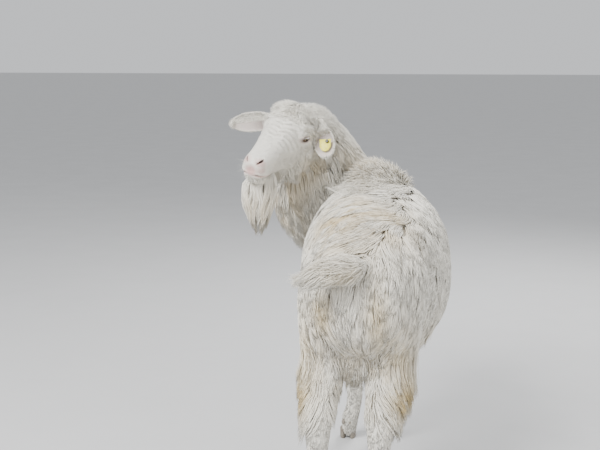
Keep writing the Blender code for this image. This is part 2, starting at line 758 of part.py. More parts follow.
def head_way(matrix):
    """The lie of the hair on the head: out from the crown, and back and down over the cheeks."""
    back = matrix.inverted()
    turn = matrix.to_3x3().normalized()

    def way(place, normal):
        q = back @ place
        if q.x < -0.080:
            course = neck_way(place) - UP * 0.3
        elif q.z > 0.040:
            course = turn @ Vector((q.x + 0.110, 1.1 * q.y, 0.004))
        else:
            course = turn @ Vector((-0.55, 0.0, -0.35)) - UP * 0.6
        course = course - normal * course.dot(normal)
        return course.normalized()

    return way


def ear_guard(name, matrix):
    """The space of an ear and a little round it, where no lock goes."""
    _, across, opening = ear_frame(name)
    rings = []
    for share, width, depth in smooth_rows(EAR_SHAPE, 1):
        middle = ear_middle(name, 1.03 * share)
        rings.append(ring(middle, across, opening, width + 0.003, depth + 0.006, depth + 0.003, 2.0, 10))
    return placed(skin_rings("guard", rings), matrix)


def head_mesh(matrix):
    """The fused head with a short stub of the neck, before eyes, nostrils and mouth."""
    rows = [(x, 0, z, width, rise, drop) for x, z, width, rise, drop in SKULL]
    pieces = [loft("skull", rows, UP, count=28, steps=3, square=2.2)]
    for name, shape in (("cheek", CHEEK), ("orbit", ORBIT), ("cheekbone", CHEEKBONE),
                        ("lip", UPPER_LIP), ("nose", NOSE_PAD), ("chin", CHIN)):
        pieces += both_sides(name, shape)
    pieces.append(ellipsoid("poll", *POLL))
    pieces = [placed(mesh, matrix) for mesh in pieces]
    pieces.append(neck_mesh(first=4))
    pieces.append(beard_core(matrix))
    return soft_union("head", pieces, voxel=0.0040, rounds=6, triangles=1700)


def tube(name, points, radius, sides=5):
    """A closed round tube along points, thin at both ends."""
    rows = []
    for i, p in enumerate(points):
        r = radius * (0.35 if i in (0, len(points) - 1) else 1.0)
        rows.append((*p, r, r, r))
    return loft(name, rows, UP, count=sides, steps=1)


def mouth_points(tree, matrix, lift, sink):
    """Points of the mouth's line from corner to corner, moved along the head's own up and depth."""
    half = smooth_rows(MOUTH_LINE, 2)
    line = [Vector(p) for p in half] + [Vector((p[0], -p[1], p[2])) for p in half[::-1]]
    points = []
    for p in line:
        place, normal, _, _ = tree.find_nearest(matrix @ (p + Vector((0, 0, lift))))
        points.append(place - normal * sink)
    return points


def nostril_cutters(matrix):
    """A comma-shaped slit on each side, rising outwards round the nose."""
    cutters = []
    for side in (1, -1):
        along = Vector((-0.55, side * 0.62, 0.56)).normalized()
        depth = Vector((0.80, side * 0.60, 0.10))
        depth = (depth - along * depth.dot(along)).normalized()
        turn = Matrix((along, depth, along.cross(depth))).transposed()
        centre = Vector((NOSTRIL.x, side * NOSTRIL.y, NOSTRIL.z))
        mesh = ellipsoid("nostril", centre, (0.0125, 0.0090, 0.0034), 10, 6, turn)
        cutters.append(placed(mesh, matrix))
    return cutters


def eye_ball(matrix, side, grow=0.0):
    """The ball of one eye. Its socket is the same ball, a little larger."""
    centre = Vector((EYE.x, side * EYE.y, EYE.z))
    radius = (EYE_RADIUS + grow) / HEAD_SIZE
    return placed(ellipsoid("ball", centre, (radius,) * 3, 14, 8), matrix)


def eye_openings(matrix):
    """The almond between the lids of each eye, half closed and slanting down behind."""
    openings = []
    for side in (1, -1):
        turn = Matrix.Rotation(side * math.radians(8), 3, "Z") @ Matrix.Rotation(math.radians(4), 3, "Y")
        centre = Vector((EYE.x + 0.001, side * (EYE.y + 0.018), EYE.z - 0.001))
        openings.append(placed(ellipsoid("opening", centre, EYE_SLIT, 10, 6, turn), matrix))
    return openings


def build_head(matrix, collection):
    """The head with its locks, and the same head before them, to which the ears are fitted."""
    core = head_mesh(matrix)
    tree = tree_of(core)
    draw = draw_for("head")
    head = new_object("head", core.copy(), collection)
    locks = beard_locks(matrix, draw)
    locks += grow_locks(core, head_region(matrix), head_way(matrix), [NECK_TOP], [], draw)
    guards = [ear_guard(name, matrix) for name in EARS]
    hair = new_object("hair", locks[0], bpy.context.scene.collection)
    boolean(hair, locks[1:], "UNION")
    boolean(hair, guards, "DIFFERENCE")
    boolean(head, [hair.data], "UNION")
    bpy.data.objects.remove(hair)
    boolean(head, [cell(moved_planes([NECK_TOP], -GAP / 2))], "INTERSECT")
    keep_largest(head)
    lids = [placed(ellipsoid("lid", (EYE.x, side * EYE.y, EYE.z), (EYE_RADIUS / HEAD_SIZE + 0.0030,) * 3, 12, 8),
                   matrix) for side in (1, -1)]
    lips = [tube("upper_lip", mouth_points(tree, matrix, 0.0056, 0.0018), 0.0042),
            tube("lower_lip", mouth_points(tree, matrix, -0.0056, 0.0020), 0.0040)]
    boolean(head, lids + lips, "UNION")
    cutters = [tube("mouth", mouth_points(tree, matrix, 0.0, -0.0007), 0.0034)]
    cutters += nostril_cutters(matrix) + eye_openings(matrix)
    cutters += [eye_ball(matrix, side, GAP) for side in (1, -1)]
    boolean(head, cutters, "DIFFERENCE")
    keep_largest(head)
    return core


def ear_frame(name):
    """The ear's own axes in the head's frame: along, across, and the way the cup opens."""
    _, along, open_way, _, _ = EARS[name]
    along = along.normalized()
    opening = (open_way - along * open_way.dot(along)).normalized()
    return along, along.cross(opening), opening


def ear_middle(name, share):
    along, _, opening = ear_frame(name)
    root, _, _, length, bend = EARS[name]
    return root + along * (length * share) + opening * (bend * length * share * share)


def ear_leaf(name):
    """A leaf-shaped loft along the ear."""
    _, across, opening = ear_frame(name)
    rings = []
    for share, width, depth in smooth_rows(EAR_SHAPE, 2):
        rings.append(ring(ear_middle(name, share), across, opening, width, depth, depth, 2.0, 10))
    return skin_rings(name, rings)


def ear_cup(name):
    """The hollow of the ear, which leaves its wall behind and at the rim and stands out in front."""
    _, across, opening = ear_frame(name)
    start, end = CUP
    table = np.array(smooth_rows(EAR_SHAPE, 2))
    rings = []
    for share in np.linspace(start, end, 7):
        width, depth = (float(np.interp(share, table[:, 0], table[:, k])) for k in (1, 2))
        deepen = math.sqrt(min(1.0, 0.10 + 4.0 * (share - start)))
        low = (EAR_WALL - depth) * deepen
        high = depth + CUP_RIM
        middle = ear_middle(name, share) + opening * ((low + high) / 2)
        half = (high - low) / 2
        rings.append(ring(middle, across, opening, (width - EAR_WALL) * deepen, half, half, 2.0, 10))
    return skin_rings("cup", rings)


def build_ear(name, matrix, core, collection):
    """A cupped ear whose root is cut to the side of the head, a gap clear of it."""
    ear = new_object(name, placed(ear_leaf(name), matrix), collection)
    boolean(ear, [placed(ear_cup(name), matrix), swollen(core, GAP)], "DIFFERENCE")
    return keep_largest(ear)


def plug(name, centre, axis, radius, start, end, sides=16):
    """A round plug along an axis, from start to end."""
    turn = axis.to_track_quat("Z", "Y").to_matrix().to_4x4()
    mesh = bpy.data.meshes.new(name)
    work = bmesh.new()
    bmesh.ops.create_cone(work, cap_ends=True, segments=sides, radius1=radius, radius2=radius,
                          depth=end - start)
    work.transform(Matrix.Translation((0, 0, (start + end) / 2)))
    work.transform(Matrix.Translation(centre) @ turn)
    work.to_mesh(mesh)
    work.free()
    return mesh


def reach_of(tree, centre, out, down, across, radius, sign):
    """How far a round piece of this radius has to stand off along sign x out to clear the ear."""
    reach = -1.0
    for k in range(24):
        angle = 2 * math.pi * k / 24
        for share in (0.0, 0.5, 1.0):
            rim = centre + (down * math.cos(angle) + across * math.sin(angle)) * radius * share
            hit, _, _, _ = tree.ray_cast(rim + out * sign * 0.05, -out * sign)
            if hit:
                reach = max(reach, (hit - centre).dot(out) * sign)
    return reach


def tag_outline():
    """A plate with a straight top and a rounded, narrower foot. The pin is at the origin."""
    half, top = TAG_WIDTH / 2, 0.0085
    foot = top - TAG_HEIGHT
    shape = [(-1.0, top), (1.0, top), (1.0, foot * 0.50), (0.62, foot * 0.88), (0.22, foot),
             (-0.22, foot), (-0.62, foot * 0.88), (-1.0, foot * 0.50)]
    c, s = math.cos(TAG_LEAN), math.sin(TAG_LEAN)
    points = [(half * u - 0.007, v) for u, v in shape]
    return [(u * c - v * s, u * s + v * c) for u, v in points]


def build_tag(matrix, ear, collection):
    """A button behind the ear whose pin passes through it and the plate into a round stud."""
    along, _, opening = ear_frame("ear_left")
    turn = matrix.to_3x3()
    out = (turn @ opening).normalized()
    down = (turn @ along).normalized()
    across = out.cross(down).normalized()
    tree = tree_of(ear.data)
    middle = matrix @ ear_middle("ear_left", TAG_PLACE) + across * TAG_OFFSET
    back = reach_of(tree, middle, out, down, across, BUTTON_RADIUS, -1)
    front = reach_of(tree, middle, out, down, across, TAG_HEIGHT * 0.9, 1)
    boolean(ear, [plug("bore", middle, out, PIN_RADIUS + GAP, -0.04, 0.04)], "DIFFERENCE")
    rings = []
    for level in (front + GAP, front + GAP + TAG_THICK):
        rings.append([middle + out * level + across * u - down * v for u, v in tag_outline()])
    plate = new_object("tag_plate", skin_rings("tag_plate", rings), collection)
    boolean(plate, [plug("hole", middle, out, PIN_RADIUS + GAP, -0.02, 0.06)], "DIFFERENCE")
    pin_end = front + GAP + TAG_THICK + 0.0010
    button = new_object("tag_button", plug("button", middle, out, BUTTON_RADIUS, -back - GAP - 0.0022,
                                           -back - GAP), collection)
    boolean(button, [plug("pin", middle, out, PIN_RADIUS, -back - 0.0020, pin_end)], "UNION")
    new_object("tag_stud", plug("stud", middle, out, STUD_RADIUS, pin_end + GAP, pin_end + 0.0048), collection)


def claw_outline(length, width, side):
    """A pointed oval with its straighter side towards the other claw, toe along +Y."""
    points = []
    for k in range(10):
        angle = 2 * math.pi * k / 10
        c, s = math.cos(angle), math.sin(angle)
        bulge = 1.0 if c * side > 0 else 0.55
        taper = 1.0 - 0.35 * max(s, 0.0) ** 2
        points.append((0.5 * width * c * bulge * taper, 0.5 * length * s))
    return points


def build_claws(collection):
    """Two claws under each leg, standing flat on the ground and cut level under the coronet."""
    for leg, (stations, line) in LEGS.items():
        foot_x, foot_y = line[0][1], stations[-1][1]
        for side in (-1, 1):
            x = foot_x + side * 0.0152
            rings = []
            for z, length, ahead in ((0.0, 0.066, 0.012), (0.006, 0.067, 0.011), (HOOF - GAP, 0.056, 0.002)):
                rings.append([Vector((x + u, foot_y + ahead + v, z))
                              for u, v in claw_outline(length, 0.0275, side)])
            outer = side > 0 if leg.endswith("right") else side < 0
            name = leg.replace("leg", "claw") + ("_outer" if outer else "_inner")
            new_object(name, skin_rings(name, rings), collection)


def body_cells():
    """The space of each node that is parted from the torso, and the region of its locks."""
    left, right = (RIGHT * HIND_SIDES[0], -RIGHT), (RIGHT * HIND_SIDES[1], RIGHT)
    below_hock = (HOCK_CUT[0], -UP)
    return {
        "neck": ([NECK_BASE, (NECK_TOP[0], -NECK_TOP[1])], neck_region, neck_lie),
        "hind_leg_left": ([HIND_TOP, HIND_FRONT, HOCK_CUT, left], hind_region, body_way),
        "hind_leg_right": ([HIND_TOP, HIND_FRONT, HOCK_CUT, right], hind_region, body_way),
        "hind_shank_left": ([below_hock, HIND_FRONT, SOLE_CUT, left], None, None),
        "hind_shank_right": ([below_hock, HIND_FRONT, SOLE_CUT, right], None, None),
        "fore_leg_left": ([FORE_TOP, FORE_BACK, SOLE_CUT, (RIGHT * FORE_SIDES, -RIGHT)], None, None),
        "fore_leg_right": ([FORE_TOP, FORE_BACK, SOLE_CUT, (RIGHT * FORE_SIDES, RIGHT)], None, None),
        "tail": ([TAIL_CUT, TAIL_FLOOR, *TAIL_SIDES], tail_region, tail_lie),
    }


def part_body(body, collection):
    """Cuts the fused body into its nodes, after the locks of each have been joined to it."""
    cells = body_cells()
    spaces = [planes for planes, _, _ in cells.values()]

    def torso_only(place, normal):
        if any(inside(planes, place, ROOT_MARGIN) for planes in spaces):
            return None
        return torso_region(place, normal)

    for name, (planes, region_of, way) in cells.items():
        node = new_object(name, body.copy(), collection)
        inner = cell(moved_planes(planes, -GAP / 2))
        if region_of:
            def own_only(place, normal):
                return region_of(place, normal) if inside(planes, place, -ROOT_MARGIN) else None

            bare = new_object("bare", body.copy(), bpy.context.scene.collection)
            boolean(bare, [inner], "INTERSECT")
            locks = grow_locks(bare.data, own_only, way, planes, [], draw_for(name))
            boolean(node, locks, "UNION")
            bpy.data.objects.remove(bare)
        boolean(node, [inner], "INTERSECT")
        keep_largest(node)
    torso = new_object("torso", body.copy(), collection)
    boolean(torso, grow_locks(body, torso_only, body_way, [], spaces, draw_for("torso")), "UNION")
    boolean(torso, [cell(moved_planes(planes, GAP / 2)) for planes in spaces], "DIFFERENCE")
    keep_largest(torso)


def colour_of(name):
    if name.startswith("eye"):
        return "eye"
    if "claw" in name:
        return "horn"
    if name.startswith("ear"):
        return "skin"
    if name == "tag_plate":
        return "tag"
    return "stud" if name.startswith("tag") else "coat"


def finish(collection):
    """Gives each node its material and moves the origin under the middle of the whole animal."""
    materials = {}
    for word, (red, green, blue, rough) in COLOURS.items():
        material = bpy.data.materials.new(word)
        material.use_nodes = True
        shader = material.node_tree.nodes["Principled BSDF"]
        shader.inputs["Base Color"].default_value = (red, green, blue, 1)
        shader.inputs["Roughness"].default_value = rough
        materials[word] = material
    points = np.array([v.co for obj in collection.objects for v in obj.data.vertices])
    low, high = points.min(0), points.max(0)
    shift = Matrix.Translation((-(low[0] + high[0]) / 2, -(low[1] + high[1]) / 2, -low[2]))
    for obj in collection.objects:
        obj.data.transform(shift)
        obj.data.materials.clear()
        obj.data.materials.append(materials[colour_of(obj.name)])
        obj.data.shade_smooth()
        obj.data.set_sharp_from_angle(angle=math.radians(40))


def main():
    clear_scene()
    goat = bpy.data.collections.new("saanen_goat")
    bpy.context.scene.collection.children.link(goat)
    part_body(body_mesh(triangles=3000), goat)
    matrix = head_matrix()
    core = build_head(matrix, goat)
    for side, name in ((1, "eye_left"), (-1, "eye_right")):
        new_object(name, eye_ball(matrix, side), goat)
    ears = {name: build_ear(name, matrix, core, goat) for name in EARS}
    build_tag(matrix, ears["ear_left"], goat)
    build_claws(goat)
    finish(goat)


if __name__ == "__main__":
    main()
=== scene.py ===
import json
import math
import random

import bmesh
import bpy
import numpy as np
from mathutils import Matrix, Vector, kdtree
from mathutils.bvhtree import BVHTree

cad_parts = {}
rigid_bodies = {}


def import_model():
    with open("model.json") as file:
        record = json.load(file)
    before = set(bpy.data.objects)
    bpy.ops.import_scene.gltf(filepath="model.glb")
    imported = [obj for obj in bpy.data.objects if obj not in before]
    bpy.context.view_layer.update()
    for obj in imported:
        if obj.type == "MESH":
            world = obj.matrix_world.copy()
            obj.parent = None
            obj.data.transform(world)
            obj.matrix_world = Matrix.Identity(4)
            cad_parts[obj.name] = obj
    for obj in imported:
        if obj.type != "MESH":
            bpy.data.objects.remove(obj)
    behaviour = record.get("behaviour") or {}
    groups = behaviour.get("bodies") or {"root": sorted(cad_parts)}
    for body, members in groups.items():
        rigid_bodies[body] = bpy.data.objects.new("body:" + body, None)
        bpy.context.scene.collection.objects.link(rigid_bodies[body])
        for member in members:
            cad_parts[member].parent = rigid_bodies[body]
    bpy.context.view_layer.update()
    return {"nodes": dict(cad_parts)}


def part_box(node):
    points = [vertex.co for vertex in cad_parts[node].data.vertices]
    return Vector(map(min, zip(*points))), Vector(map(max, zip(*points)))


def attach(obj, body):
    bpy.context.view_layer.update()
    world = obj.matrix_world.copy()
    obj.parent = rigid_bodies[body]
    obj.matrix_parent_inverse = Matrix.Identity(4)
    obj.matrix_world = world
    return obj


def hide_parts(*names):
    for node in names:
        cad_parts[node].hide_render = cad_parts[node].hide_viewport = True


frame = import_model()
nodes = frame["nodes"]

# The goat is drawn on the ground with its body along +Y and its right side at +X, and is then
# moved by one shift, so that its left eye is where the frame has it.
up, ahead = Vector((0, 0, 1)), Vector((0, 1, 0))

trunk = {
    # along Y, middle X, middle Z, half width, rise to the back, drop to the belly
    "stations": [
        (-0.515, 0.022, 0.715, 0.055, 0.050, 0.060), (-0.480, 0.022, 0.710, 0.112, 0.110, 0.125),
        (-0.390, 0.020, 0.700, 0.146, 0.175, 0.180), (-0.280, 0.020, 0.690, 0.172, 0.215, 0.190),
        (-0.150, 0.020, 0.680, 0.208, 0.243, 0.225), (-0.020, 0.022, 0.680, 0.230, 0.258, 0.243),
        (0.110, 0.012, 0.685, 0.224, 0.275, 0.235), (0.220, -0.012, 0.695, 0.184, 0.270, 0.215),
        (0.310, -0.045, 0.700, 0.148, 0.215, 0.185), (0.380, -0.065, 0.690, 0.105, 0.130, 0.130),
        (0.420, -0.075, 0.680, 0.050, 0.060, 0.065)],
    "fullness": 2.3,
    "muscles": [((-0.078, -0.330, 0.705), (0.082, 0.120, 0.140)), ((0.112, -0.330, 0.700), (0.085, 0.120, 0.140)),
                ((-0.125, 0.235, 0.680), (0.070, 0.105, 0.150)), ((0.080, 0.235, 0.680), (0.070, 0.105, 0.150)),
                ((0.000, -0.370, 0.545), (0.070, 0.055, 0.090))],
    "underMane": ((0.010, 0.180, 0.875), (0.106, 0.121, 0.116)),
    "voxel": 0.0072,
    "soften": 4,
}
neck = {
    # crest point, throat point, half width, from inside the trunk to inside the skull
    "stations": [
        ((-0.005, 0.205, 0.915), (-0.110, 0.395, 0.640), 0.130), ((-0.028, 0.275, 0.965), (-0.262, 0.345, 0.735), 0.128),
        ((-0.072, 0.305, 1.022), (-0.328, 0.298, 0.818), 0.114), ((-0.118, 0.295, 1.092), (-0.334, 0.248, 0.900), 0.102),
        ((-0.168, 0.260, 1.152), (-0.310, 0.210, 0.965), 0.092), ((-0.200, 0.214, 1.190), (-0.306, 0.165, 1.003), 0.086),
        ((-0.230, 0.150, 1.198), (-0.302, 0.110, 1.035), 0.076)],
    "crestDepth": 0.007,
    "throatDepth": 0.014,
    # where the neck starts and ends: a point and the way towards the head
    "base": (Vector((-0.149, 0.320, 0.8735)), Vector((-0.62, 0.35, 0.70)).normalized()),
    "top": (Vector((-0.2625, 0.209, 1.066)), Vector((-0.28, -0.78, 0.56)).normalized()),
}
legs = {
    # height, along Y, half width across, half depth in front and behind
    "hind": [(0.760, -0.370, 0.060, 0.090, 0.080), (0.680, -0.360, 0.076, 0.125, 0.100),
             (0.590, -0.345, 0.074, 0.125, 0.108), (0.510, -0.345, 0.064, 0.098, 0.090),
             (0.435, -0.385, 0.050, 0.066, 0.062), (0.375, -0.435, 0.041, 0.048, 0.050),
             (0.320, -0.467, 0.037, 0.039, 0.043), (0.270, -0.468, 0.031, 0.032, 0.034),
             (0.190, -0.460, 0.025, 0.027, 0.028), (0.120, -0.453, 0.024, 0.026, 0.028),
             (0.085, -0.447, 0.028, 0.028, 0.032), (0.055, -0.436, 0.026, 0.027, 0.029),
             (0.020, -0.430, 0.026, 0.030, 0.027)],
    "fore": [(0.720, 0.270, 0.055, 0.080, 0.080), (0.620, 0.250, 0.062, 0.080, 0.080),
             (0.530, 0.220, 0.055, 0.064, 0.068), (0.450, 0.225, 0.044, 0.050, 0.053),
             (0.375, 0.235, 0.036, 0.040, 0.040), (0.310, 0.242, 0.036, 0.037, 0.035),
             (0.260, 0.242, 0.029, 0.030, 0.029), (0.180, 0.243, 0.026, 0.026, 0.026),
             (0.120, 0.246, 0.025, 0.026, 0.027), (0.085, 0.250, 0.028, 0.028, 0.031),
             (0.055, 0.260, 0.026, 0.027, 0.028), (0.020, 0.268, 0.026, 0.030, 0.026)],
    # X of each leg's line at some heights
    "lines": {
        "hind_left": [(0.00, -0.100), (0.26, -0.099), (0.375, -0.095), (0.76, -0.080)],
        "hind_right": [(0.00, 0.082), (0.26, 0.082), (0.375, 0.086), (0.59, 0.105), (0.76, 0.100)],
        "fore_left": [(0.00, -0.100), (0.09, -0.088), (0.15, -0.070), (0.31, -0.082), (0.50, -0.125), (0.72, -0.125)],
        "fore_right": [(0.00, 0.030), (0.31, 0.040), (0.50, 0.080), (0.72, 0.060)]},
}
tail = {
    # middle, half width, half depth; the cut is a point and the way towards the tip
    "stations": [((0.020, -0.430, 0.785), 0.034, 0.030), ((0.018, -0.490, 0.803), 0.030, 0.026),
                 ((0.004, -0.535, 0.812), 0.026, 0.021), ((-0.025, -0.562, 0.813), 0.022, 0.018),
                 ((-0.060, -0.575, 0.802), 0.017, 0.015), ((-0.092, -0.580, 0.785), 0.007, 0.006)],
    "cut": (Vector((0.010, -0.514, 0.810)), Vector((-0.15, -0.98, 0.08)).normalized()),
}
# The head in its own frame: +X to the nose, +Y to its left ear, +Z to the forehead.
head = {
    # along X, middle Z, half width, rise, drop
    "skull": [(-0.130, -0.035, 0.042, 0.048, 0.045), (-0.108, -0.030, 0.064, 0.082, 0.068),
              (-0.072, -0.030, 0.078, 0.100, 0.080), (-0.032, -0.030, 0.080, 0.103, 0.087),
              (0.000, -0.030, 0.074, 0.093, 0.087), (0.032, -0.033, 0.063, 0.075, 0.081),
              (0.070, -0.040, 0.052, 0.059, 0.070), (0.110, -0.050, 0.044, 0.047, 0.059),
              (0.148, -0.060, 0.039, 0.038, 0.049), (0.176, -0.066, 0.036, 0.034, 0.043),
              (0.192, -0.069, 0.030, 0.028, 0.035), (0.201, -0.071, 0.018, 0.016, 0.020)],
    "paired": [((-0.035, 0.044, -0.062), (0.058, 0.030, 0.052)), ((-0.002, 0.046, 0.006), (0.038, 0.026, 0.030)),
               ((0.012, 0.040, -0.026), (0.062, 0.026, 0.024)), ((0.158, 0.020, -0.076), (0.036, 0.021, 0.020)),
               ((0.180, 0.010, -0.052), (0.021, 0.018, 0.018)), ((0.148, 0.008, -0.108), (0.032, 0.019, 0.013))],
    "poll": ((-0.058, -0.004, 0.026), (0.064, 0.070, 0.058)),
    "chinPad": ((0.112, 0.0, -0.108), (0.036, 0.026, 0.020)),
    "size": 1.11,
    "place": Vector((-0.293, 0.060, 1.1245)),
    "turn": (167, 4, -15.5),          # degrees: round to the left, nose down, tilted
    "eye": Vector((0.000, 0.0565, 0.006)),
    "eyeRadius": 0.0165,
    "lidThick": 0.0030,
    "slit": (0.0172, 0.0150, 0.0056),        # half sizes of the gap between the lids
    "opening": (0.004, 0.016, -0.001),       # its place from the middle of the eye
    "mouth": [(0.112, 0.046, -0.082), (0.140, 0.044, -0.088), (0.170, 0.036, -0.090), (0.192, 0.018, -0.088)],
    "nostril": Vector((0.1915, 0.0200, -0.0470)),
    "nostrilRadii": (0.0150, 0.0120, 0.0038),
    "voxel": 0.0025,
    "soften": 4,
}
ears = {
    # share of the length, half width, half depth
    "outline": [(-0.14, 0.013, 0.013), (0.12, 0.021, 0.014), (0.35, 0.030, 0.012), (0.60, 0.031, 0.010),
                (0.82, 0.024, 0.008), (0.95, 0.014, 0.006), (1.00, 0.006, 0.004)],
    "wall": 0.0036,
    "rim": 0.0010,
    "around": 40,
    "cup": (0.16, 0.955),
    "bareBelow": {"left": 0.012, "right": 0.006},          # height in the cup up to which its skin is bare
    # root, way it points, way the cup opens, length, bend
    "left": (Vector((-0.080, 0.074, 0.040)), Vector((0.42, 0.60, -0.72)), Vector((0.90, 0.00, 0.45)), 0.114, 0.15),
    "right": (Vector((-0.076, -0.066, 0.014)), Vector((0.18, -0.91, -0.32)), Vector((0.94, 0.25, -0.12)), 0.144, 0.06),
}


def headMatrix():
    yaw, pitch, roll = (math.radians(a) for a in head["turn"])
    nose = Vector((-math.sin(yaw) * math.cos(pitch), math.cos(yaw) * math.cos(pitch), -math.sin(pitch)))
    left = Vector((-math.cos(yaw), -math.sin(yaw), 0))
    left = left * math.cos(roll) + nose.cross(left) * math.sin(roll)
    turn = Matrix((nose, left, nose.cross(left))).transposed().to_4x4()
    return Matrix.Translation(head["place"]) @ turn @ Matrix.Scale(head["size"], 4)


toHead = headMatrix()
fromHead = np.array(toHead.inverted())
headWay = toHead.to_3x3().normalized()          # turns a direction of the head's frame
headTurn = np.array(headWay)
eyeLow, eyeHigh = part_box("eye_left")
shift = (eyeLow + eyeHigh) / 2 - toHead @ head["eye"]
print("shift of the drawing:", tuple(round(v, 4) for v in shift))


# Lofts and fused skins

def smoothRows(rows, steps):
    rows = np.array(rows, float)
    padded = np.vstack([2 * rows[0] - rows[1], rows, 2 * rows[-1] - rows[-2]])
    out = []
    for i in range(1, len(padded) - 2):
        a, b, c, d = padded[i - 1:i + 3]
        for t in np.arange(steps) / steps:
            out.append(0.5 * (2 * b + (c - a) * t + (2 * a - 5 * b + 4 * c - d) * t * t
                              + (3 * b - a - 3 * c + d) * t ** 3))
    return np.array(out + [rows[-1]])


def ringPoints(centre, side, top, width, rise, drop, fullness, count):
    points = []
    for k in range(count):
        c, s = math.cos(2 * math.pi * k / count), math.sin(2 * math.pi * k / count)
        across = width * math.copysign(abs(c) ** (2 / fullness), c)
        along = (rise if s >= 0 else drop) * math.copysign(abs(s) ** (2 / fullness), s)
        points.append(centre + side * across + top * along)
    return points


def ringsMesh(name, rings):
    count = len(rings[0])
    faces = []
    for i in range(len(rings) - 1):
        for k in range(count):
            a, b = i * count + k, i * count + (k + 1) % count
            faces.append((a, b, b + count, a + count))
    last = (len(rings) - 1) * count
    faces += [tuple(reversed(range(count))), tuple(range(last, last + count))]
    mesh = bpy.data.meshes.new(name)
    mesh.from_pydata([tuple(p) for ring in rings for p in ring], [], faces)
    work = bmesh.new()
    work.from_mesh(mesh)
    bmesh.ops.recalc_face_normals(work, faces=work.faces)
    work.to_mesh(mesh)
    work.free()
    return mesh


def loft(name, rows, top, count=32, steps=5, fullness=2.0):
    rows = smoothRows(rows, steps)
    centres = [Vector(r[:3]) for r in rows]
    rings = []
    for i, row in enumerate(rows):
        along = (centres[min(i + 1, len(rows) - 1)] - centres[max(i - 1, 0)]).normalized()
        upright = (top - along * top.dot(along)).normalized()
        width, rise, drop = (max(v, 0.001) for v in row[3:6])
        rings.append(ringPoints(centres[i], along.cross(upright), upright, width, rise, drop, fullness, count))
    return ringsMesh(name, rings)


def ball(name, centre, radii, segments=28, rows=16, turn=None):
    mesh = bpy.data.meshes.new(name)
    work = bmesh.new()
    bmesh.ops.create_uvsphere(work, u_segments=segments, v_segments=rows, radius=1.0)
    work.transform(Matrix.Diagonal((*radii, 1)))
    if turn:
        work.transform(turn.to_4x4())
    work.transform(Matrix.Translation(centre))
    work.to_mesh(mesh)
    work.free()
    return mesh


def moved(mesh, matrix):
    mesh.transform(matrix)
    return mesh


def shadeSmooth(mesh):
    mesh.polygons.foreach_set("use_smooth", np.ones(len(mesh.polygons), bool))


def onSide(place, side):
    # a place on the head's left side, or its mirror place on the right
    return Vector((place[0], side * place[1], place[2]))


def newObject(name, mesh):
    obj = bpy.data.objects.new(name, mesh)
    bpy.context.scene.collection.objects.link(obj)
    return obj


def applied(obj, name):
    bpy.context.view_layer.update()
    mesh = bpy.data.meshes.new_from_object(obj.evaluated_get(bpy.context.evaluated_depsgraph_get()))
    mesh.name = name
    return mesh


def fused(name, meshes, voxel, soften):
    work = bmesh.new()
    for mesh in meshes:
        work.from_mesh(mesh)
    whole = bpy.data.meshes.new(name)
    work.to_mesh(whole)
    work.free()
    obj = newObject(name, whole)
    remesh = obj.modifiers.new("fuse", "REMESH")
    remesh.mode = "VOXEL"
    remesh.voxel_size = voxel
    smooth = obj.modifiers.new("soften", "SMOOTH")
    smooth.factor = 0.5
    smooth.iterations = soften
    obj.data = applied(obj, name)
    obj.modifiers.clear()
    return obj


def boolean(obj, meshes, operation):
    pieces = bpy.data.collections.new("pieces")
    bpy.context.scene.collection.children.link(pieces)
    for mesh in meshes:
        pieces.objects.link(bpy.data.objects.new("piece", mesh))
    modifier = obj.modifiers.new(operation, "BOOLEAN")
    modifier.operation = operation
    modifier.solver = "MANIFOLD"
    modifier.operand_type = "COLLECTION"
    modifier.collection = pieces
    obj.data = applied(obj, obj.name)
    obj.modifiers.clear()
    for piece in list(pieces.objects):
        bpy.data.objects.remove(piece)
    bpy.data.collections.remove(pieces)


def neckLine(first=0):
    line = []
    for row in smoothRows([(*crest, *throat, width) for crest, throat, width in neck["stations"][first:]], 5):
        half = (Vector(row[0:3]) - Vector(row[3:6])) / 2
        line.append(((Vector(row[0:3]) + Vector(row[3:6])) / 2, half.normalized(), half.length, row[6]))
    return line


def neckMesh(first=0, thinner=0.0):
    line = neckLine(first)
    rings = []
    for i, (middle, crest, depth, width) in enumerate(line):
        along = (line[min(i + 1, len(line) - 1)][0] - line[max(i - 1, 0)][0]).normalized()
        rise, drop = depth + neck["crestDepth"] - thinner, depth + neck["throatDepth"] - thinner
        side = along.cross(crest).normalized()
        rings.append(ringPoints(middle, side, crest, width - thinner, rise, drop, 2.0, 32))
    return ringsMesh("neck", rings)


def legMesh(name):
    heights, places = zip(*legs["lines"][name])
    rows = [(float(np.interp(z, heights, places)), y, z, width, front, back)
            for z, y, width, front, back in legs[name.split("_")[0]]]
    return loft(name, rows, ahead, count=24, steps=4)


def bodySkin():
    rows = [(x, y, z, width, rise, drop) for y, x, z, width, rise, drop in trunk["stations"]]
    parts = [loft("trunk", rows, up, fullness=trunk["fullness"]), neckMesh(), ball("mane", *trunk["underMane"])]
    parts.append(loft("tail", [(*place, width, depth, depth) for place, width, depth in tail["stations"]], up, 16, 4))
    parts += [ball("muscle", centre, radii) for centre, radii in trunk["muscles"]]
    parts += [legMesh(name) for name in legs["lines"]]
    return fused("skin", parts, trunk["voxel"], trunk["soften"])


def inHead(points):
    return np.asarray(points, float) @ fromHead[:3, :3].T + fromHead[:3, 3]


def distanceTo(points, line):
    # least distance of each point to a line of points
    best = np.full(len(points), 1e9)
    for a, b in zip(line[:-1], line[1:]):
        ab = b - a
        t = np.clip(((points - a) @ ab) / (ab @ ab), 0, 1)
        best = np.minimum(best, np.linalg.norm(points - (a + t[:, None] * ab), axis=1))
    return best


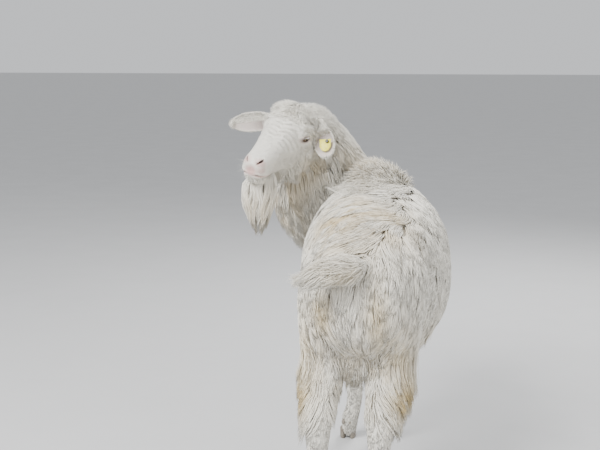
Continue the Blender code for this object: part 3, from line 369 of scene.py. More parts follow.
def readPoints(mesh):
    points, normals = np.empty(len(mesh.vertices) * 3), np.empty(len(mesh.vertices) * 3)
    mesh.vertices.foreach_get("co", points)
    mesh.vertices.foreach_get("normal", normals)
    return points.reshape(-1, 3), normals.reshape(-1, 3)


creases = {
    # line in the head's frame, width and depth of the fold, and the sides that have it
    "brow": ([(-0.020, 0.046, 0.066), (-0.036, 0.058, 0.052), (-0.048, 0.072, 0.034)], 0.0060, 0.0060, (1,)),
    "earFront": ([(-0.048, 0.072, 0.036), (-0.046, 0.080, 0.010), (-0.040, 0.080, -0.022)], 0.0065, 0.0055, (1,)),
    "browRight": ([(-0.020, -0.046, 0.066), (-0.036, -0.058, 0.050), (-0.046, -0.070, 0.030)], 0.0060, 0.0040, (1,)),
    "lid": ([(0.022, 0.052, 0.018), (0.008, 0.062, 0.028), (-0.010, 0.066, 0.026), (-0.024, 0.064, 0.014)],
            0.0030, 0.0020, (1, -1)),
    "under": ([(0.026, 0.054, -0.006), (0.010, 0.066, -0.016), (-0.010, 0.068, -0.018)], 0.0034, 0.0018, (1, -1)),
    "cheek": ([(0.128, 0.050, -0.062), (0.116, 0.052, -0.074), (0.108, 0.050, -0.088)], 0.0050, 0.0026, (1, -1)),
    "lip": ([(0.196, 0.0, -0.052), (0.200, 0.0, -0.066), (0.197, 0.0, -0.080)], 0.0024, 0.0022, (1,)),
}
faceRelief = {
    # the mouth's groove, and the swell of the lips beside it: depth or height, width
    "mouth": (0.0042, 0.0026), "lips": (0.0020, 0.0036), "lipsFromMouth": 0.0070, "lipsFrom": 0.10,
    # folds of the bridge: height, distance apart, and how they bend
    "folds": (0.0026, 0.0175), "foldWave": (0.8, 60),
    # bony brows and the dish in front of them: centre, radii, height
    "brow": ((0.004, 0.050, 0.032), (0.030, 0.018, 0.012), 0.0032),
    "dish": ((0.085, 0, 0.012), (0.030, 0.020, 0.030), 0.0020),
}


def reach(points, centre, radii):
    # how far places are from a centre, where 1 is the edge of the round spot with these radii
    return np.linalg.norm((points - np.array(centre)) / np.array(radii), axis=1)


def mouthLine():
    # from one corner of the mouth round the nose to the other
    half = smoothRows(head["mouth"], 4)
    return np.vstack([half, (half * (1, -1, 1))[::-1]])


def carveHead(mesh):
    points, normals = readPoints(mesh)
    q = inHead(points)
    move = np.zeros(len(q))
    for line, width, depth, sides in creases.values():
        for side in sides:
            move -= depth * np.exp(-(distanceTo(q, np.array(line) * (1, side, 1)) / width) ** 2)
    gap = distanceTo(q, mouthLine())
    depth, width = faceRelief["mouth"]
    move -= depth * np.exp(-(gap / width) ** 2)
    height, width = faceRelief["lips"]
    swell = height * np.exp(-((gap - faceRelief["lipsFromMouth"]) / width) ** 2)
    move += swell * (q[:, 0] > faceRelief["lipsFrom"])
    # folds of loose skin across the bridge of the nose and up to the left brow
    bridge = np.exp(-((q[:, 0] - 0.055) / 0.040) ** 2) * np.exp(-((q[:, 1] - 0.020) / 0.046) ** 2)
    bridge = bridge * np.clip((q[:, 2] + 0.03) / 0.02, 0, 1)
    across = q[:, 0] + 0.5 * np.abs(q[:, 1] - 0.004) - 0.35 * q[:, 2]
    height, apart = faceRelief["folds"]
    bend, pace = faceRelief["foldWave"]
    move += height * bridge * np.sin(across * 2 * math.pi / apart + bend * np.sin(q[:, 1] * pace))
    centre, radii, height = faceRelief["brow"]
    for side in (1, -1):
        move += height * np.exp(-reach(q, np.array(centre) * (1, side, 1), radii) ** 2)
    centre, radii, height = faceRelief["dish"]
    move -= height * np.exp(-reach(q, centre, radii) ** 2)
    mesh.vertices.foreach_set("co", (points + normals * (move * head["size"])[:, None]).ravel())
    mesh.update()


def headSkin():
    rows = [(x, 0, z, width, rise, drop) for x, z, width, rise, drop in head["skull"]]
    parts = [loft("skull", rows, up, 40, 5, 2.2), ball("poll", *head["poll"]), ball("chin", *head["chinPad"])]
    for (x, y, z), radii in head["paired"]:
        parts += [ball("muscle", (x, side * y, z), radii) for side in (1, -1)]
    shell = head["eyeRadius"] / head["size"] + head["lidThick"]
    parts += [ball("lid", onSide(head["eye"], side), (shell,) * 3) for side in (1, -1)]
    parts = [moved(mesh, toHead) for mesh in parts] + [neckMesh(4, 0.004)]
    obj = fused("headSkin", parts, head["voxel"], head["soften"])
    carveHead(obj.data)
    socket = (head["eyeRadius"] + 0.0002) / head["size"]
    cutters = []
    for side in (1, -1):
        along = Vector((-0.55, side * 0.62, 0.56)).normalized()
        depth = Vector((0.80, side * 0.60, 0.10))
        depth = (depth - along * depth.dot(along)).normalized()
        turn = Matrix((along, depth, along.cross(depth))).transposed()
        cutters.append(ball("nostril", onSide(head["nostril"], side), head["nostrilRadii"], 24, 14, turn))
        lean = Matrix.Rotation(side * math.radians(-10), 3, "Z") @ Matrix.Rotation(math.radians(6), 3, "Y")
        opening = onSide([a + b for a, b in zip(head["eye"], head["opening"])], side)
        cutters.append(ball("opening", opening, head["slit"], 32, 18, lean))
        cutters.append(ball("socket", onSide(head["eye"], side), (socket,) * 3, 40, 24))
    boolean(obj, [moved(cutter, toHead) for cutter in cutters], "DIFFERENCE")
    return obj


skin = bodySkin()
headPart = headSkin()
headMesh = headPart.data.copy()
bpy.data.objects.remove(headPart)
boolean(skin, [headMesh], "UNION")
skin.data.name = "skin"
print("skin:", len(skin.data.polygons), "faces")


# Where the coat's regions are, how their hair lies, their markings, and the painted shade among them

def planeSide(points, plane):
    return (points - np.array(plane[0])) @ np.array(plane[1])


def unit(vectors):
    return vectors / np.maximum(np.linalg.norm(vectors, axis=1), 1e-9)[:, None]


def flat(course, normals):
    return unit(course - normals * (course * normals).sum(1)[:, None])


spineY, spineX = (np.array(v) for v in zip(*((row[0], row[1]) for row in trunk["stations"])))
neckMiddles = np.array([middle for middle, _, _, _ in neckLine()])
tailLine = np.array([place for place, _, _ in tail["stations"]])


def neckWay(points):
    gaps = np.linalg.norm(points[:, None, :] - neckMiddles[None, 1:, :], axis=2)
    i = gaps.argmin(1) + 1
    return unit(neckMiddles[i - 1] - neckMiddles[i])


combing = {
    # where the back's hair parts, right of the spine, how soft the parting is, and the width that runs back
    "parting": 0.105, "softness": 0.10, "parted": 0.050,
    "rear": (-0.40, 0.08),       # along Y, from where and over how much the hair turns down the rump
    "legTop": 0.56,
    "legMiddle": 0.045,          # half the distance between the lines that the legs' hair leaves sideways
    # slow waves through the whole coat: turn in radians, and pace along X, Y and Z
    "waves": [(0.26, (13, 19, 9)), (0.16, (31, -23, 17))],
}


def courseOf(x, y, z):
    # directions from three parts, of which each is a number or one value for each place
    return np.stack(np.broadcast_arrays(x, y, z), 1)


def bodyLie(points, normals):
    x, y, z = points.T
    side = x - np.interp(y, spineY, spineX)
    # over the back the hair sweeps to the left and down, and only far right to the right
    fromParting = side - combing["parting"]
    across = np.clip(fromParting / combing["softness"], -1, 1) * np.maximum(normals[:, 2], 0)
    back = 0.45 + 0.45 * np.exp(-(fromParting / combing["parted"]) ** 2)
    course = courseOf(0.95 * across, -back, -0.60)
    start, over = combing["rear"]
    low = np.clip((start - y) / over, 0, 1)[:, None]
    course = course * (1 - low) + courseOf(1.5 * side, -0.15, -1.0) * low
    leg = z < combing["legTop"]
    course[leg] = courseOf(3.0 * (x - np.where(x > 0, 1, -1) * combing["legMiddle"]), -0.10, -1.0)[leg]
    front = ((z > 0.66) & (x < -0.12) & (y > 0.10)) | (y > 0.34)
    course[front] = (neckWay(points) * 0.5 - np.array(up) * 0.7)[front]
    course = flat(course, normals)
    turn = sum(size * np.sin(a * x + b * y + c * z) for size, (a, b, c) in combing["waves"])
    return unit(course + np.cross(normals, course) * turn[:, None])


def neckLie(points, normals):
    return flat(neckWay(points) - np.array(up) * 0.35, normals)


def tailLie(points, normals):
    return flat(np.tile((-1.0, -0.25, -0.25), (len(points), 1)), normals)


def legLie(points, normals):
    return flat(np.tile((0.0, -0.15, -1.0), (len(points), 1)), normals)


def headLie(points, normals):
    # down the cheeks, outwards from the crown, back over the face, down the neck and round the chin
    q = inHead(points)
    course = np.tile(headTurn @ np.array((-0.55, 0.0, -0.35)), (len(q), 1)) - 0.6 * np.array(up)
    crown = q[:, 2] > 0.040
    course[crown] = (courseOf(0.35 * (q[:, 0] + 0.110), 1.3 * q[:, 1], 0.004) @ headTurn.T)[crown]
    behind = q[:, 0] < -0.080
    course[behind] = (neckWay(points) - 0.3 * np.array(up))[behind]
    face = (q[:, 0] > 0.020) & (q[:, 2] > -0.09)
    course[face] = (courseOf(-1.0, 3.0 * q[:, 1], -0.3) @ headTurn.T)[face]
    chin = (q[:, 0] > 0.05) & (q[:, 2] <= -0.09)
    course[chin] = np.array((0, 0, -1.0)) + headTurn @ np.array((-0.25, 0.0, -0.2))
    return flat(course, normals)


def headSide(points):
    # whether a place is on the head's side of the cut through the neck, and near the head
    middle = np.array(toHead @ Vector((0.03, 0, -0.03)))
    return (planeSide(points, neck["top"]) > 0) & (np.linalg.norm(points - middle, axis=1) < 0.27)


far = 9.0          # past every measure of a place
lowLeg = {"z": (0.37, 0.55), "y": (-far, -0.20)}
neckPart = {"pastNeckBase": (0, far), "z": (0.66, far), "x": (-far, 0.10)}
headPlace = {"onHead": (0.5, far)}
regionRules = [
    # region of the coat and the range of each measure in it; a later line takes places from an earlier one
    ("flank", {"facesUp": (-far, 0.45), "side": (0, far)}),
    ("flank", {"facesUp": (-far, 0.10), "side": (-far, 0)}),
    ("belly", {"facesUp": (-far, -0.55)}),
    ("rump", {"y": (-far, -0.36), "facesUp": (-far, 0.75)}),
    ("thigh", {"y": (-far, -0.30), "z": (0.37, 0.70)}),
    ("breeches", {**lowLeg, "facesFront": (-far, 0.25)}),
    ("inside", {**lowLeg, "facesOut": (-far, -0.35)}),
    ("breast", {"y": (0.30, far), "facesUp": (-0.8, far)}),
    ("mane", {"z": (0.91, far), "y": (-0.02, 0.33), "x": (-0.055, 0.075)}),
    ("shank", {"z": (-far, 0.43), "y": (0.13, far)}),
    ("shank", {"z": (-far, 0.385), "y": (-far, 0)}),
    ("tail", {"pastTailCut": (-0.010, far), "fromTail": (-far, 0.046)}),
    ("neck", neckPart),
    ("crest", {**neckPart, "facesUp": (0.45, far)}),
    ("crest", {**neckPart, "z": (1.10, far)}),
    ("throat", {**neckPart, "facesUp": (-far, -0.1)}),
    ("throat", {**neckPart, "x": (-far, -0.27)}),
    ("cheek", headPlace),
    ("nape", {**headPlace, "headX": (-far, -0.080)}),
    ("poll", {**headPlace, "headZ": (0.050, far), "headX": (-far, 0.012)}),
    ("face", {**headPlace, "headZ": (-0.094, far), "headX": (0.012, far)}),
    ("face", {**headPlace, "headZ": (-0.094, far), "fromEye": (-far, 0.042)}),
    # the bridge's fur is so short and smooth that the skin itself shows it
    ("bridge", {**headPlace, "headX": (0.030, far), "overNose": (-0.030, far)}),
    ("jaw", {**headPlace, "headZ": (-far, -0.085), "headX": (-0.02, 0.10)}),
    ("chin", {**headPlace, "headZ": (-far, -0.098), "headX": (0.075, 0.150)}),
    ("bare", {**headPlace, "hairless": (0.5, far)}),
]
ragged = {"body": 0.016, "head": 0.0035, "turn": 0.10}          # how much the borders stray, so that no edge shows
hairless = {
    # centre and radii of the nose and of the lids' edges, and the half width of the lips
    "nose": ((0.203, 0, -0.080), (0.016, 0.021, 0.019)), "lids": ((0.001, 0.066, 0.005), (0.0195, 0.022, 0.0085)),
    "lips": 0.0045,
}


def regionsOf(points, normals):
    # the name of the region of the coat at each place
    onHead = headSide(points)
    strays = np.random.default_rng(3)
    stray = np.where(onHead, ragged["head"], ragged["body"])[:, None]
    exact = points
    points = points + np.clip(strays.normal(0, 1, points.shape), -2, 2) * stray
    normals = unit(normals + strays.normal(0, ragged["turn"], normals.shape))
    x, y, z = points.T
    q = inHead(points)
    eyeGap = np.stack([q[:, 0], np.abs(q[:, 1]), q[:, 2]], 1) - np.array(head["eye"])
    measures = {
        "x": x, "y": y, "z": z, "side": x - np.interp(y, spineY, spineX),
        "facesUp": normals[:, 2], "facesFront": normals[:, 1], "facesOut": normals[:, 0] * np.sign(x),
        "pastTailCut": planeSide(exact, tail["cut"]), "fromTail": distanceTo(exact, tailLine),
        "pastNeckBase": planeSide(points, neck["base"]), "onHead": onHead, "headX": q[:, 0], "headZ": q[:, 2],
        "fromEye": np.linalg.norm(eyeGap, axis=1), "overNose": q[:, 2] + 0.15 * q[:, 0], "hairless": bareOf(exact),
    }
    out = np.full(len(x), "back", dtype="<U10")
    for name, ranges in regionRules:
        fits = np.ones(len(x), bool)
        for measure, (least, most) in ranges.items():
            fits &= (measures[measure] > least) & (measures[measure] < most)
        out[fits] = name
    return out


def bareOf(points):
    # the nose, lips and the edges of the lids, which carry no hair
    q = inHead(points)
    bare = (reach(q, *hairless["nose"]) < 1) | (distanceTo(q, mouthLine()) < hairless["lips"])
    centre, radii = hairless["lids"]
    for side in (1, -1):
        bare |= reach(q, np.array(centre) * (1, side, 1), radii) < 1
    return bare


markings = {
    # centre and radii in the drawing's frame, strength
    "stain": [((0.073, -0.47, 0.67), (0.030, 0.070, 0.070), 0.95), ((-0.078, -0.47, 0.665), (0.034, 0.070, 0.055), 0.70),
              ((-0.05, -0.56, 0.80), (0.080, 0.050, 0.035), 0.50), ((-0.185, -0.45, 0.39), (0.055, 0.090, 0.060), 1.00),
              ((0.17, -0.45, 0.39), (0.050, 0.090, 0.055), 0.95), ((-0.150, -0.44, 0.52), (0.045, 0.090, 0.110), 0.40),
              ((0.13, -0.45, 0.52), (0.050, 0.090, 0.100), 0.35)],
    # cream: the coat's own cream on the back, and painted shade on the left side, on the neck and low under the body
    "cream_and_shade": [((-0.07, -0.25, 0.89), (0.110, 0.200, 0.110), 1.00), ((0.05, -0.30, 0.88), (0.110, 0.160, 0.100), 0.80),
              ((-0.31, 0.24, 0.90), (0.090, 0.120, 0.150), 0.80), ((-0.24, 0.20, 1.01), (0.070, 0.110, 0.070), 0.90),
              ((-0.35, -0.06, 0.86), (0.090, 0.080, 0.100), 0.60), ((-0.06, 0.16, 1.02), (0.130, 0.120, 0.060), 0.50),
              ((0.01, -0.42, 0.52), (0.160, 0.140, 0.180), 0.45), ((0.15, 0.00, 0.52), (0.150, 0.300, 0.090), 0.40)],
}
faceMarks = {
    # centre and radii in the head's frame, the sides that have it, strength, level in the middle, fall outwards
    "pink": [((0.202, 0, -0.078), (0.019, 0.023, 0.020), (1,), 0.80, 1.6, 1.35),
             ((0.188, 0.022, -0.070), (0.015, 0.016, 0.013), (1,), 0.55, 1.6, 1.2),
             ((0.1915, 0.0200, -0.0510), (0.015, 0.016, 0.012), (1, -1), 0.60, 1.7, 1.2),
             ((0.004, 0.064, 0.005), (0.0225, 0.026, 0.0100), (1, -1), 0.35, 2.4, 1.6)],
    # dark: painted shade round the gap between the lids and around the nostrils
    "dark": [((0.004, 0.064, 0.005), (0.0225, 0.026, 0.0100), (1, -1), 0.85, 2.3, 2.0),
             ((0.1835, 0.0160, -0.0470), (0.010, 0.012, 0.008), (1, -1), 0.9, 1.9, 1.8)],
}
# the lips' pink, and a dark line of painted shade in the mouth's groove
mouthMarks = {"pink": (0.8, 0.0055), "dark": (0.75, 0.0020)}          # strength, half width
# painted shade along the folds of the brows and in front of the left ear
foldShade = {"folds": ("brow", "earFront", "browRight"), "strength": 0.30, "width": 0.0045}
# painted shade low on the legs: greyer towards the ground, from this height down over this distance
legShade = {"from": 0.34, "over": 0.30, "strength": 0.8}


def marksOf(points):
    marks = {}
    for name, spots in markings.items():
        clear = np.ones(len(points))
        for centre, radii, strength in spots:
            clear *= 1 - strength * np.exp(-reach(points, centre, radii) ** 2)
        marks[name] = 1 - clear
    marks["grey"] = np.clip((legShade["from"] - points[:, 2]) / legShade["over"], 0, 1) * legShade["strength"]
    q = inHead(points)
    mouth = distanceTo(q, mouthLine())
    for name, (strength, width) in mouthMarks.items():
        marks[name] = strength * np.exp(-(mouth / width) ** 2)
    for fold in foldShade["folds"]:
        gap = distanceTo(q, np.array(creases[fold][0]))
        marks["dark"] = np.maximum(marks["dark"], foldShade["strength"] * np.exp(-(gap / foldShade["width"]) ** 2))
    for name, spots in faceMarks.items():
        for centre, radii, sides, strength, level, fall in spots:
            for side in sides:
                gap = reach(q, np.array(centre) * (1, side, 1), radii)
                marks[name] = np.maximum(marks[name], strength * np.clip(level - fall * gap, 0, 1))
    return marks


def setFloats(mesh, name, values):
    mesh.attributes.new(name, "FLOAT", "POINT").data.foreach_set("value", np.asarray(values, np.float32))


def setVectors(mesh, name, values):
    data = mesh.attributes.new(name, "FLOAT_VECTOR", "POINT").data
    data.foreach_set("vector", np.ascontiguousarray(values, np.float32).ravel())


# Materials

def link(tree, start, end):
    tree.links.new(start, end)


def node(tree, kind, place=(0, 0), **values):
    made = tree.nodes.new(kind)
    made.location = place
    for name, value in values.items():
        setattr(made, name, value)
    return made


def readMark(tree, name, output="Fac"):
    return node(tree, "ShaderNodeAttribute", attribute_name=name).outputs[output]


def blend(tree, factor, first, second):
    mix = node(tree, "ShaderNodeMix", data_type="RGBA")
    link(tree, factor, mix.inputs["Factor"])
    link(tree, first, mix.inputs["A"])
    link(tree, second, mix.inputs["B"])
    return mix.outputs["Result"]


def sums(tree, operation, first, second):
    made = node(tree, "ShaderNodeMath", operation=operation)
    for socket, value in zip(made.inputs, (first, second)):
        if isinstance(value, (int, float)):
            socket.default_value = value
        else:
            link(tree, value, socket)
    return made.outputs[0]


def ramp(tree, value, low, high, start=0.0, end=1.0):
    made = node(tree, "ShaderNodeMapRange")
    for name, number in (("From Min", low), ("From Max", high), ("To Min", start), ("To Max", end)):
        made.inputs[name].default_value = number
    link(tree, value, made.inputs["Value"])
    return made.outputs["Result"]


def noiseOf(tree, vector, scale, detail=3.0, rough=0.55):
    made = node(tree, "ShaderNodeTexNoise")
    link(tree, vector, made.inputs["Vector"])
    made.inputs["Scale"].default_value = scale
    made.inputs["Detail"].default_value = detail
    made.inputs["Roughness"].default_value = rough
    return made.outputs["Fac"]


def newGroup(name, inputs, outputs):
    tree = bpy.data.node_groups.new(name, "ShaderNodeTree")
    for label, kind, value in inputs:
        socket = tree.interface.new_socket(label, in_out="INPUT", socket_type=kind)
        socket.default_value = value
    for label, kind in outputs:
        tree.interface.new_socket(label, in_out="OUTPUT", socket_type=kind)
    return tree, node(tree, "NodeGroupInput", (-900, 0)), node(tree, "NodeGroupOutput", (900, 0))


def hairGroup():
    # colour, height and roughness of hair and of the skin that shows through it
    colour, number = "NodeSocketColor", "NodeSocketFloat"
    tree, inside, out = newGroup("hairMarks", [
        ("Hair", colour, (0.87, 0.835, 0.745, 1)), ("Cream And Shade", colour, (0.66, 0.53, 0.32, 1)),
        ("Stain", colour, (0.64, 0.45, 0.13, 1)), ("Grey", colour, (0.46, 0.43, 0.37, 1)),
        ("Skin", colour, (0.62, 0.34, 0.31, 1)), ("Painted Shade", colour, (0.055, 0.035, 0.030, 1)),
        ("Root Shade", number, 0.16)],
        [("Colour", colour), ("Height", number), ("Roughness", number)])
    place = node(tree, "ShaderNodeTexCoord").outputs["Object"]
    broad = noiseOf(tree, place, 9.0, 4.0)
    fine = noiseOf(tree, place, 70.0, 3.0)
    streak = noiseOf(tree, readMark(tree, "streak", "Vector"), 1.0, 3.0, 0.6)
    tone = readMark(tree, "tone")
    # the cream colour is the coat's own tone on the back, and painted shade on the left side, the neck and under the
    # body
    cream_and_shade = sums(tree, "MULTIPLY", readMark(tree, "cream_and_shade"), ramp(tree, sums(tree, "ADD", tone, broad), 0.60, 1.20))
    colourNow = blend(tree, cream_and_shade, inside.outputs["Hair"], inside.outputs["Cream And Shade"])
    uneven = ramp(tree, sums(tree, "ADD", sums(tree, "MULTIPLY", tone, 0.5), fine), 0.25, 0.80)
    patch = sums(tree, "MULTIPLY", readMark(tree, "stain"), uneven)
    colourNow = blend(tree, patch, colourNow, inside.outputs["Stain"])
    # grey: painted shade low on the legs, and the inner ears' own greyish skin
    greyAndShade = sums(tree, "MULTIPLY", readMark(tree, "grey"), ramp(tree, broad, 0.35, 0.75, 0.25, 1.0))
    colourNow = blend(tree, greyAndShade, colourNow, inside.outputs["Grey"])
    colourNow = blend(tree, readMark(tree, "pink"), colourNow, inside.outputs["Skin"])
    # painted shade: the dark mark in the folds, the mouth's groove, the nostrils, round the lids' gap and deep in the
    # ears' cups
    colourNow = blend(tree, readMark(tree, "dark"), colourNow, inside.outputs["Painted Shade"])
    # painted shade deeper towards the roots, with fine streaks and a soft uneven tone over the animal
    depth = sums(tree, "SUBTRACT", 1.0, readMark(tree, "along"))
    shadeAndTone = sums(tree, "MULTIPLY", sums(tree, "MULTIPLY", depth, depth), inside.outputs["Root Shade"])
    shadeAndTone = sums(tree, "ADD", shadeAndTone, ramp(tree, streak, 0.30, 0.75, 0.10, -0.03))
    shadeAndTone = sums(tree, "ADD", shadeAndTone, ramp(tree, broad, 0.3, 0.7, 0.05, -0.02))
    light = sums(tree, "SUBTRACT", 1.0, shadeAndTone)
    scaled = node(tree, "ShaderNodeVectorMath", operation="SCALE")
    link(tree, colourNow, scaled.inputs[0])
    link(tree, light, scaled.inputs["Scale"])
    link(tree, scaled.outputs[0], out.inputs["Colour"])
    height = sums(tree, "ADD", sums(tree, "MULTIPLY", streak, 0.8), sums(tree, "MULTIPLY", fine, 0.2))
    link(tree, height, out.inputs["Height"])
    moist = sums(tree, "MULTIPLY", readMark(tree, "pink"), 0.22)
    rough = sums(tree, "SUBTRACT", ramp(tree, streak, 0.2, 0.8, 0.72, 0.60), moist)
    link(tree, rough, out.inputs["Roughness"])
    return tree


hairMarks = hairGroup()


def hairMaterial(name, bump, distance, sheen=0.25, **colours):
    material = bpy.data.materials.new(name)
    material.use_nodes = True
    tree = material.node_tree
    shader = tree.nodes["Principled BSDF"]
    group = node(tree, "ShaderNodeGroup", (-500, 0), node_tree=hairMarks)
    for socket, value in colours.items():
        group.inputs[socket.replace("_", " ")].default_value = value
    link(tree, group.outputs["Colour"], shader.inputs["Base Color"])
    link(tree, group.outputs["Roughness"], shader.inputs["Roughness"])
    relief = node(tree, "ShaderNodeBump", (-250, -250))
    relief.inputs["Strength"].default_value = bump
    relief.inputs["Distance"].default_value = distance
    link(tree, group.outputs["Height"], relief.inputs["Height"])
    link(tree, relief.outputs["Normal"], shader.inputs["Normal"])
    shader.inputs["Sheen Weight"].default_value = sheen
    shader.inputs["Sheen Roughness"].default_value = 0.4
    shader.inputs["Specular IOR Level"].default_value = 0.35
    return material


coatMaterial = hairMaterial("coat", 0.5, 0.0012)
skinMaterial = hairMaterial("short coat", 1.0, 0.0022)
earMaterial = hairMaterial("ear skin", 0.5, 0.0008, Skin=(0.50, 0.40, 0.38, 1))


def plainMaterial(name, colour, roughness, scale, contrast, bump, distance, clearcoat=0.0, second=None):
    # moulded or horny surfaces: mottled colour, uneven gloss and a fine relief
    material = bpy.data.materials.new(name)
    material.use_nodes = True
    tree = material.node_tree
    shader = tree.nodes["Principled BSDF"]
    place = node(tree, "ShaderNodeTexCoord").outputs["Object"]
    mottle = noiseOf(tree, place, scale, 5.0, 0.6)
    mix = node(tree, "ShaderNodeMix", data_type="RGBA")
    link(tree, ramp(tree, mottle, 0.35, 0.7), mix.inputs["Factor"])
    mix.inputs["A"].default_value = (*colour, 1)
    mix.inputs["B"].default_value = (*(second or [c * contrast for c in colour]), 1)
    link(tree, mix.outputs["Result"], shader.inputs["Base Color"])
    link(tree, ramp(tree, mottle, 0.3, 0.7, roughness - 0.08, roughness + 0.10), shader.inputs["Roughness"])
    relief = node(tree, "ShaderNodeBump")
    relief.inputs["Strength"].default_value = bump
    relief.inputs["Distance"].default_value = distance
    link(tree, noiseOf(tree, place, scale * 6, 4.0), relief.inputs["Height"])
    link(tree, relief.outputs["Normal"], shader.inputs["Normal"])
    shader.inputs["Coat Weight"].default_value = clearcoat
    return material


# Tufts of the coat

coat = {
    # tufts per square metre, length, width, thickness, height of the tips, share that hangs free,
    # wave, distance between clumps, how far a clump closes, rings in a tuft
    "back": (32000, 0.095, 0.0042, 0.0014, 0.017, 0.0, 0.0080, 0.036, 0.42, 4),
    "flank": (22000, 0.080, 0.0044, 0.0014, 0.015, 0.0, 0.0045, 0.034, 0.36, 4),
    "rump": (38000, 0.085, 0.0040, 0.0013, 0.015, 0.0, 0.0050, 0.032, 0.40, 4),
    "thigh": (38000, 0.095, 0.0040, 0.0013, 0.015, 0.0, 0.0060, 0.032, 0.42, 4),
    "breeches": (42000, 0.115, 0.0038, 0.0013, 0.022, 0.4, 0.0065, 0.028, 0.50, 5),
    "inside": (24000, 0.075, 0.0042, 0.0013, 0.012, 0.1, 0.0040, 0.030, 0.40, 4),
    "belly": (11000, 0.080, 0.0065, 0.0017, 0.024, 0.2, 0.0040, 0.040, 0.45, 3),
    "breast": (24000, 0.120, 0.0044, 0.0016, 0.030, 0.3, 0.0060, 0.038, 0.60, 4),
    "mane": (70000, 0.094, 0.0032, 0.0012, 0.000, 0.9, 0.0030, 0.022, 0.20, 4),
    "crest": (44000, 0.080, 0.0036, 0.0013, 0.020, 0.1, 0.0045, 0.028, 0.42, 4),
    "neck": (44000, 0.095, 0.0036, 0.0013, 0.019, 0.0, 0.0080, 0.030, 0.46, 4),
    "throat": (38000, 0.110, 0.0038, 0.0013, 0.024, 0.2, 0.0075, 0.030, 0.50, 4),
    "poll": (105000, 0.044, 0.0024, 0.0009, 0.013, 0.2, 0.0015, 0.022, 0.20, 4),
    "nape": (60000, 0.055, 0.0032, 0.0011, 0.018, 0.1, 0.0030, 0.026, 0.38, 3),
    "cheek": (76000, 0.042, 0.0028, 0.0010, 0.009, 0.0, 0.0030, 0.022, 0.36, 4),
    "jaw": (62000, 0.065, 0.0030, 0.0011, 0.014, 0.3, 0.0045, 0.020, 0.48, 4),
    "chin": (70000, 0.034, 0.0028, 0.0010, 0.006, 0.3, 0.0030, 0.018, 0.40, 3),
    "face": (150000, 0.0125, 0.0015, 0.0005, 0.0010, 0.0, 0.0006, 0.016, 0.15, 2),
    "bridge": (170000, 0.0105, 0.0012, 0.0004, 0.0005, 0.0, 0.0003, 0.016, 0.10, 2),
    "tail": (110000, 0.074, 0.0030, 0.0011, 0.020, 0.8, 0.0080, 0.018, 0.25, 5),
    "shank": (30000, 0.024, 0.0034, 0.0010, 0.0035, 0.0, 0.0008, 0.020, 0.35, 2),
}
# which way the free tips are drawn; elsewhere they hang
pulls = {"mane": (0.25, -1.05, 1.00), "tail": (-1.50, -0.30, -0.55), "poll": (0.0, -0.1, 0.9),
         "breeches": (0, 0.1, -1.6)}
hanging = (0, 0, -2.0)
outward = {"breeches": 0.55}          # how far free tips turn away from the body's middle
untidy = {"tail": 0.42}               # how much free tips stray, where it is more than usual
usualStray = 0.22
usualRootLight = 0.35
sunkRoot = 0.004
lies = {"neck": neckLie, "crest": neckLie, "throat": neckLie, "tail": tailLie, "shank": legLie}
lies.update({name: headLie for name in ("poll", "nape", "cheek", "jaw", "chin", "face", "bridge")})
# how bright the hair stays at its root under the painted root shade: short hair hides no dark depth
rootLight = {"bridge": 0.95, "face": 0.85, "shank": 0.75, "chin": 0.70, "cheek": 0.65, "poll": 0.65}
tuftShape = {2: (0.8, 1.0), 3: (0.7, 1.0, 0.75), 4: (0.6, 1.0, 0.95, 0.6), 5: (0.6, 1.0, 1.0, 0.85, 0.5),
             7: (0.6, 0.9, 1.0, 1.0, 0.9, 0.75, 0.5)}


def trianglesOf(mesh):
    # the faces, corners, areas and normals of a mesh's triangles, and a tree that finds the nearest place
    mesh.calc_loop_triangles()
    points, _ = readPoints(mesh)
    faces = np.empty(len(mesh.loop_triangles) * 3, np.int32)
    mesh.loop_triangles.foreach_get("vertices", faces)
    faces = faces.reshape(-1, 3)
    a, b, c = (points[faces[:, k]] for k in range(3))
    cross = np.cross(b - a, c - a)
    tree = BVHTree.FromPolygons(points.tolist(), faces.tolist())
    return faces, (a, b, c), np.linalg.norm(cross, axis=1) / 2, unit(cross), tree


def scattered(corners, pick):
    # one place drawn on each of the picked triangles
    a, b, c = (corner[pick] for corner in corners)
    u, v = np.sort(rng.random((2, len(pick))), axis=0)
    return a * u[:, None] + b * (v - u)[:, None] + c * (1 - v)[:, None]


def snap(tree, points):
    places, normals = np.empty_like(points), np.empty_like(points)
    for i, point in enumerate(points.tolist()):
        place, normal, _, _ = tree.find_nearest(point)
        places[i], normals[i] = place, normal
    return places, normals


def sizeAt(name, points):
    # the mane grows out of the back, the forehead's hair out of the face, and the nose has the shortest
    q = inHead(points)
    if name == "mane":
        return np.clip((points[:, 1] + 0.10) / 0.24, 0.55, 1)
    if name == "poll":
        return np.clip((0.022 - q[:, 0]) / 0.085, 0.25, 1)
    if name == "cheek":
        return np.clip((0.045 - q[:, 0]) / 0.06, 0.45, 1)
    if name in ("face", "bridge"):
        return np.clip(1.25 - 4.5 * np.maximum(q[:, 0], 0), 0.5, 1.25)
    if name == "breeches":
        return 0.8 + 6.0 * np.clip(np.abs(points[:, 0] + 0.005) - 0.09, 0, 0.10)
    return np.ones(len(points))


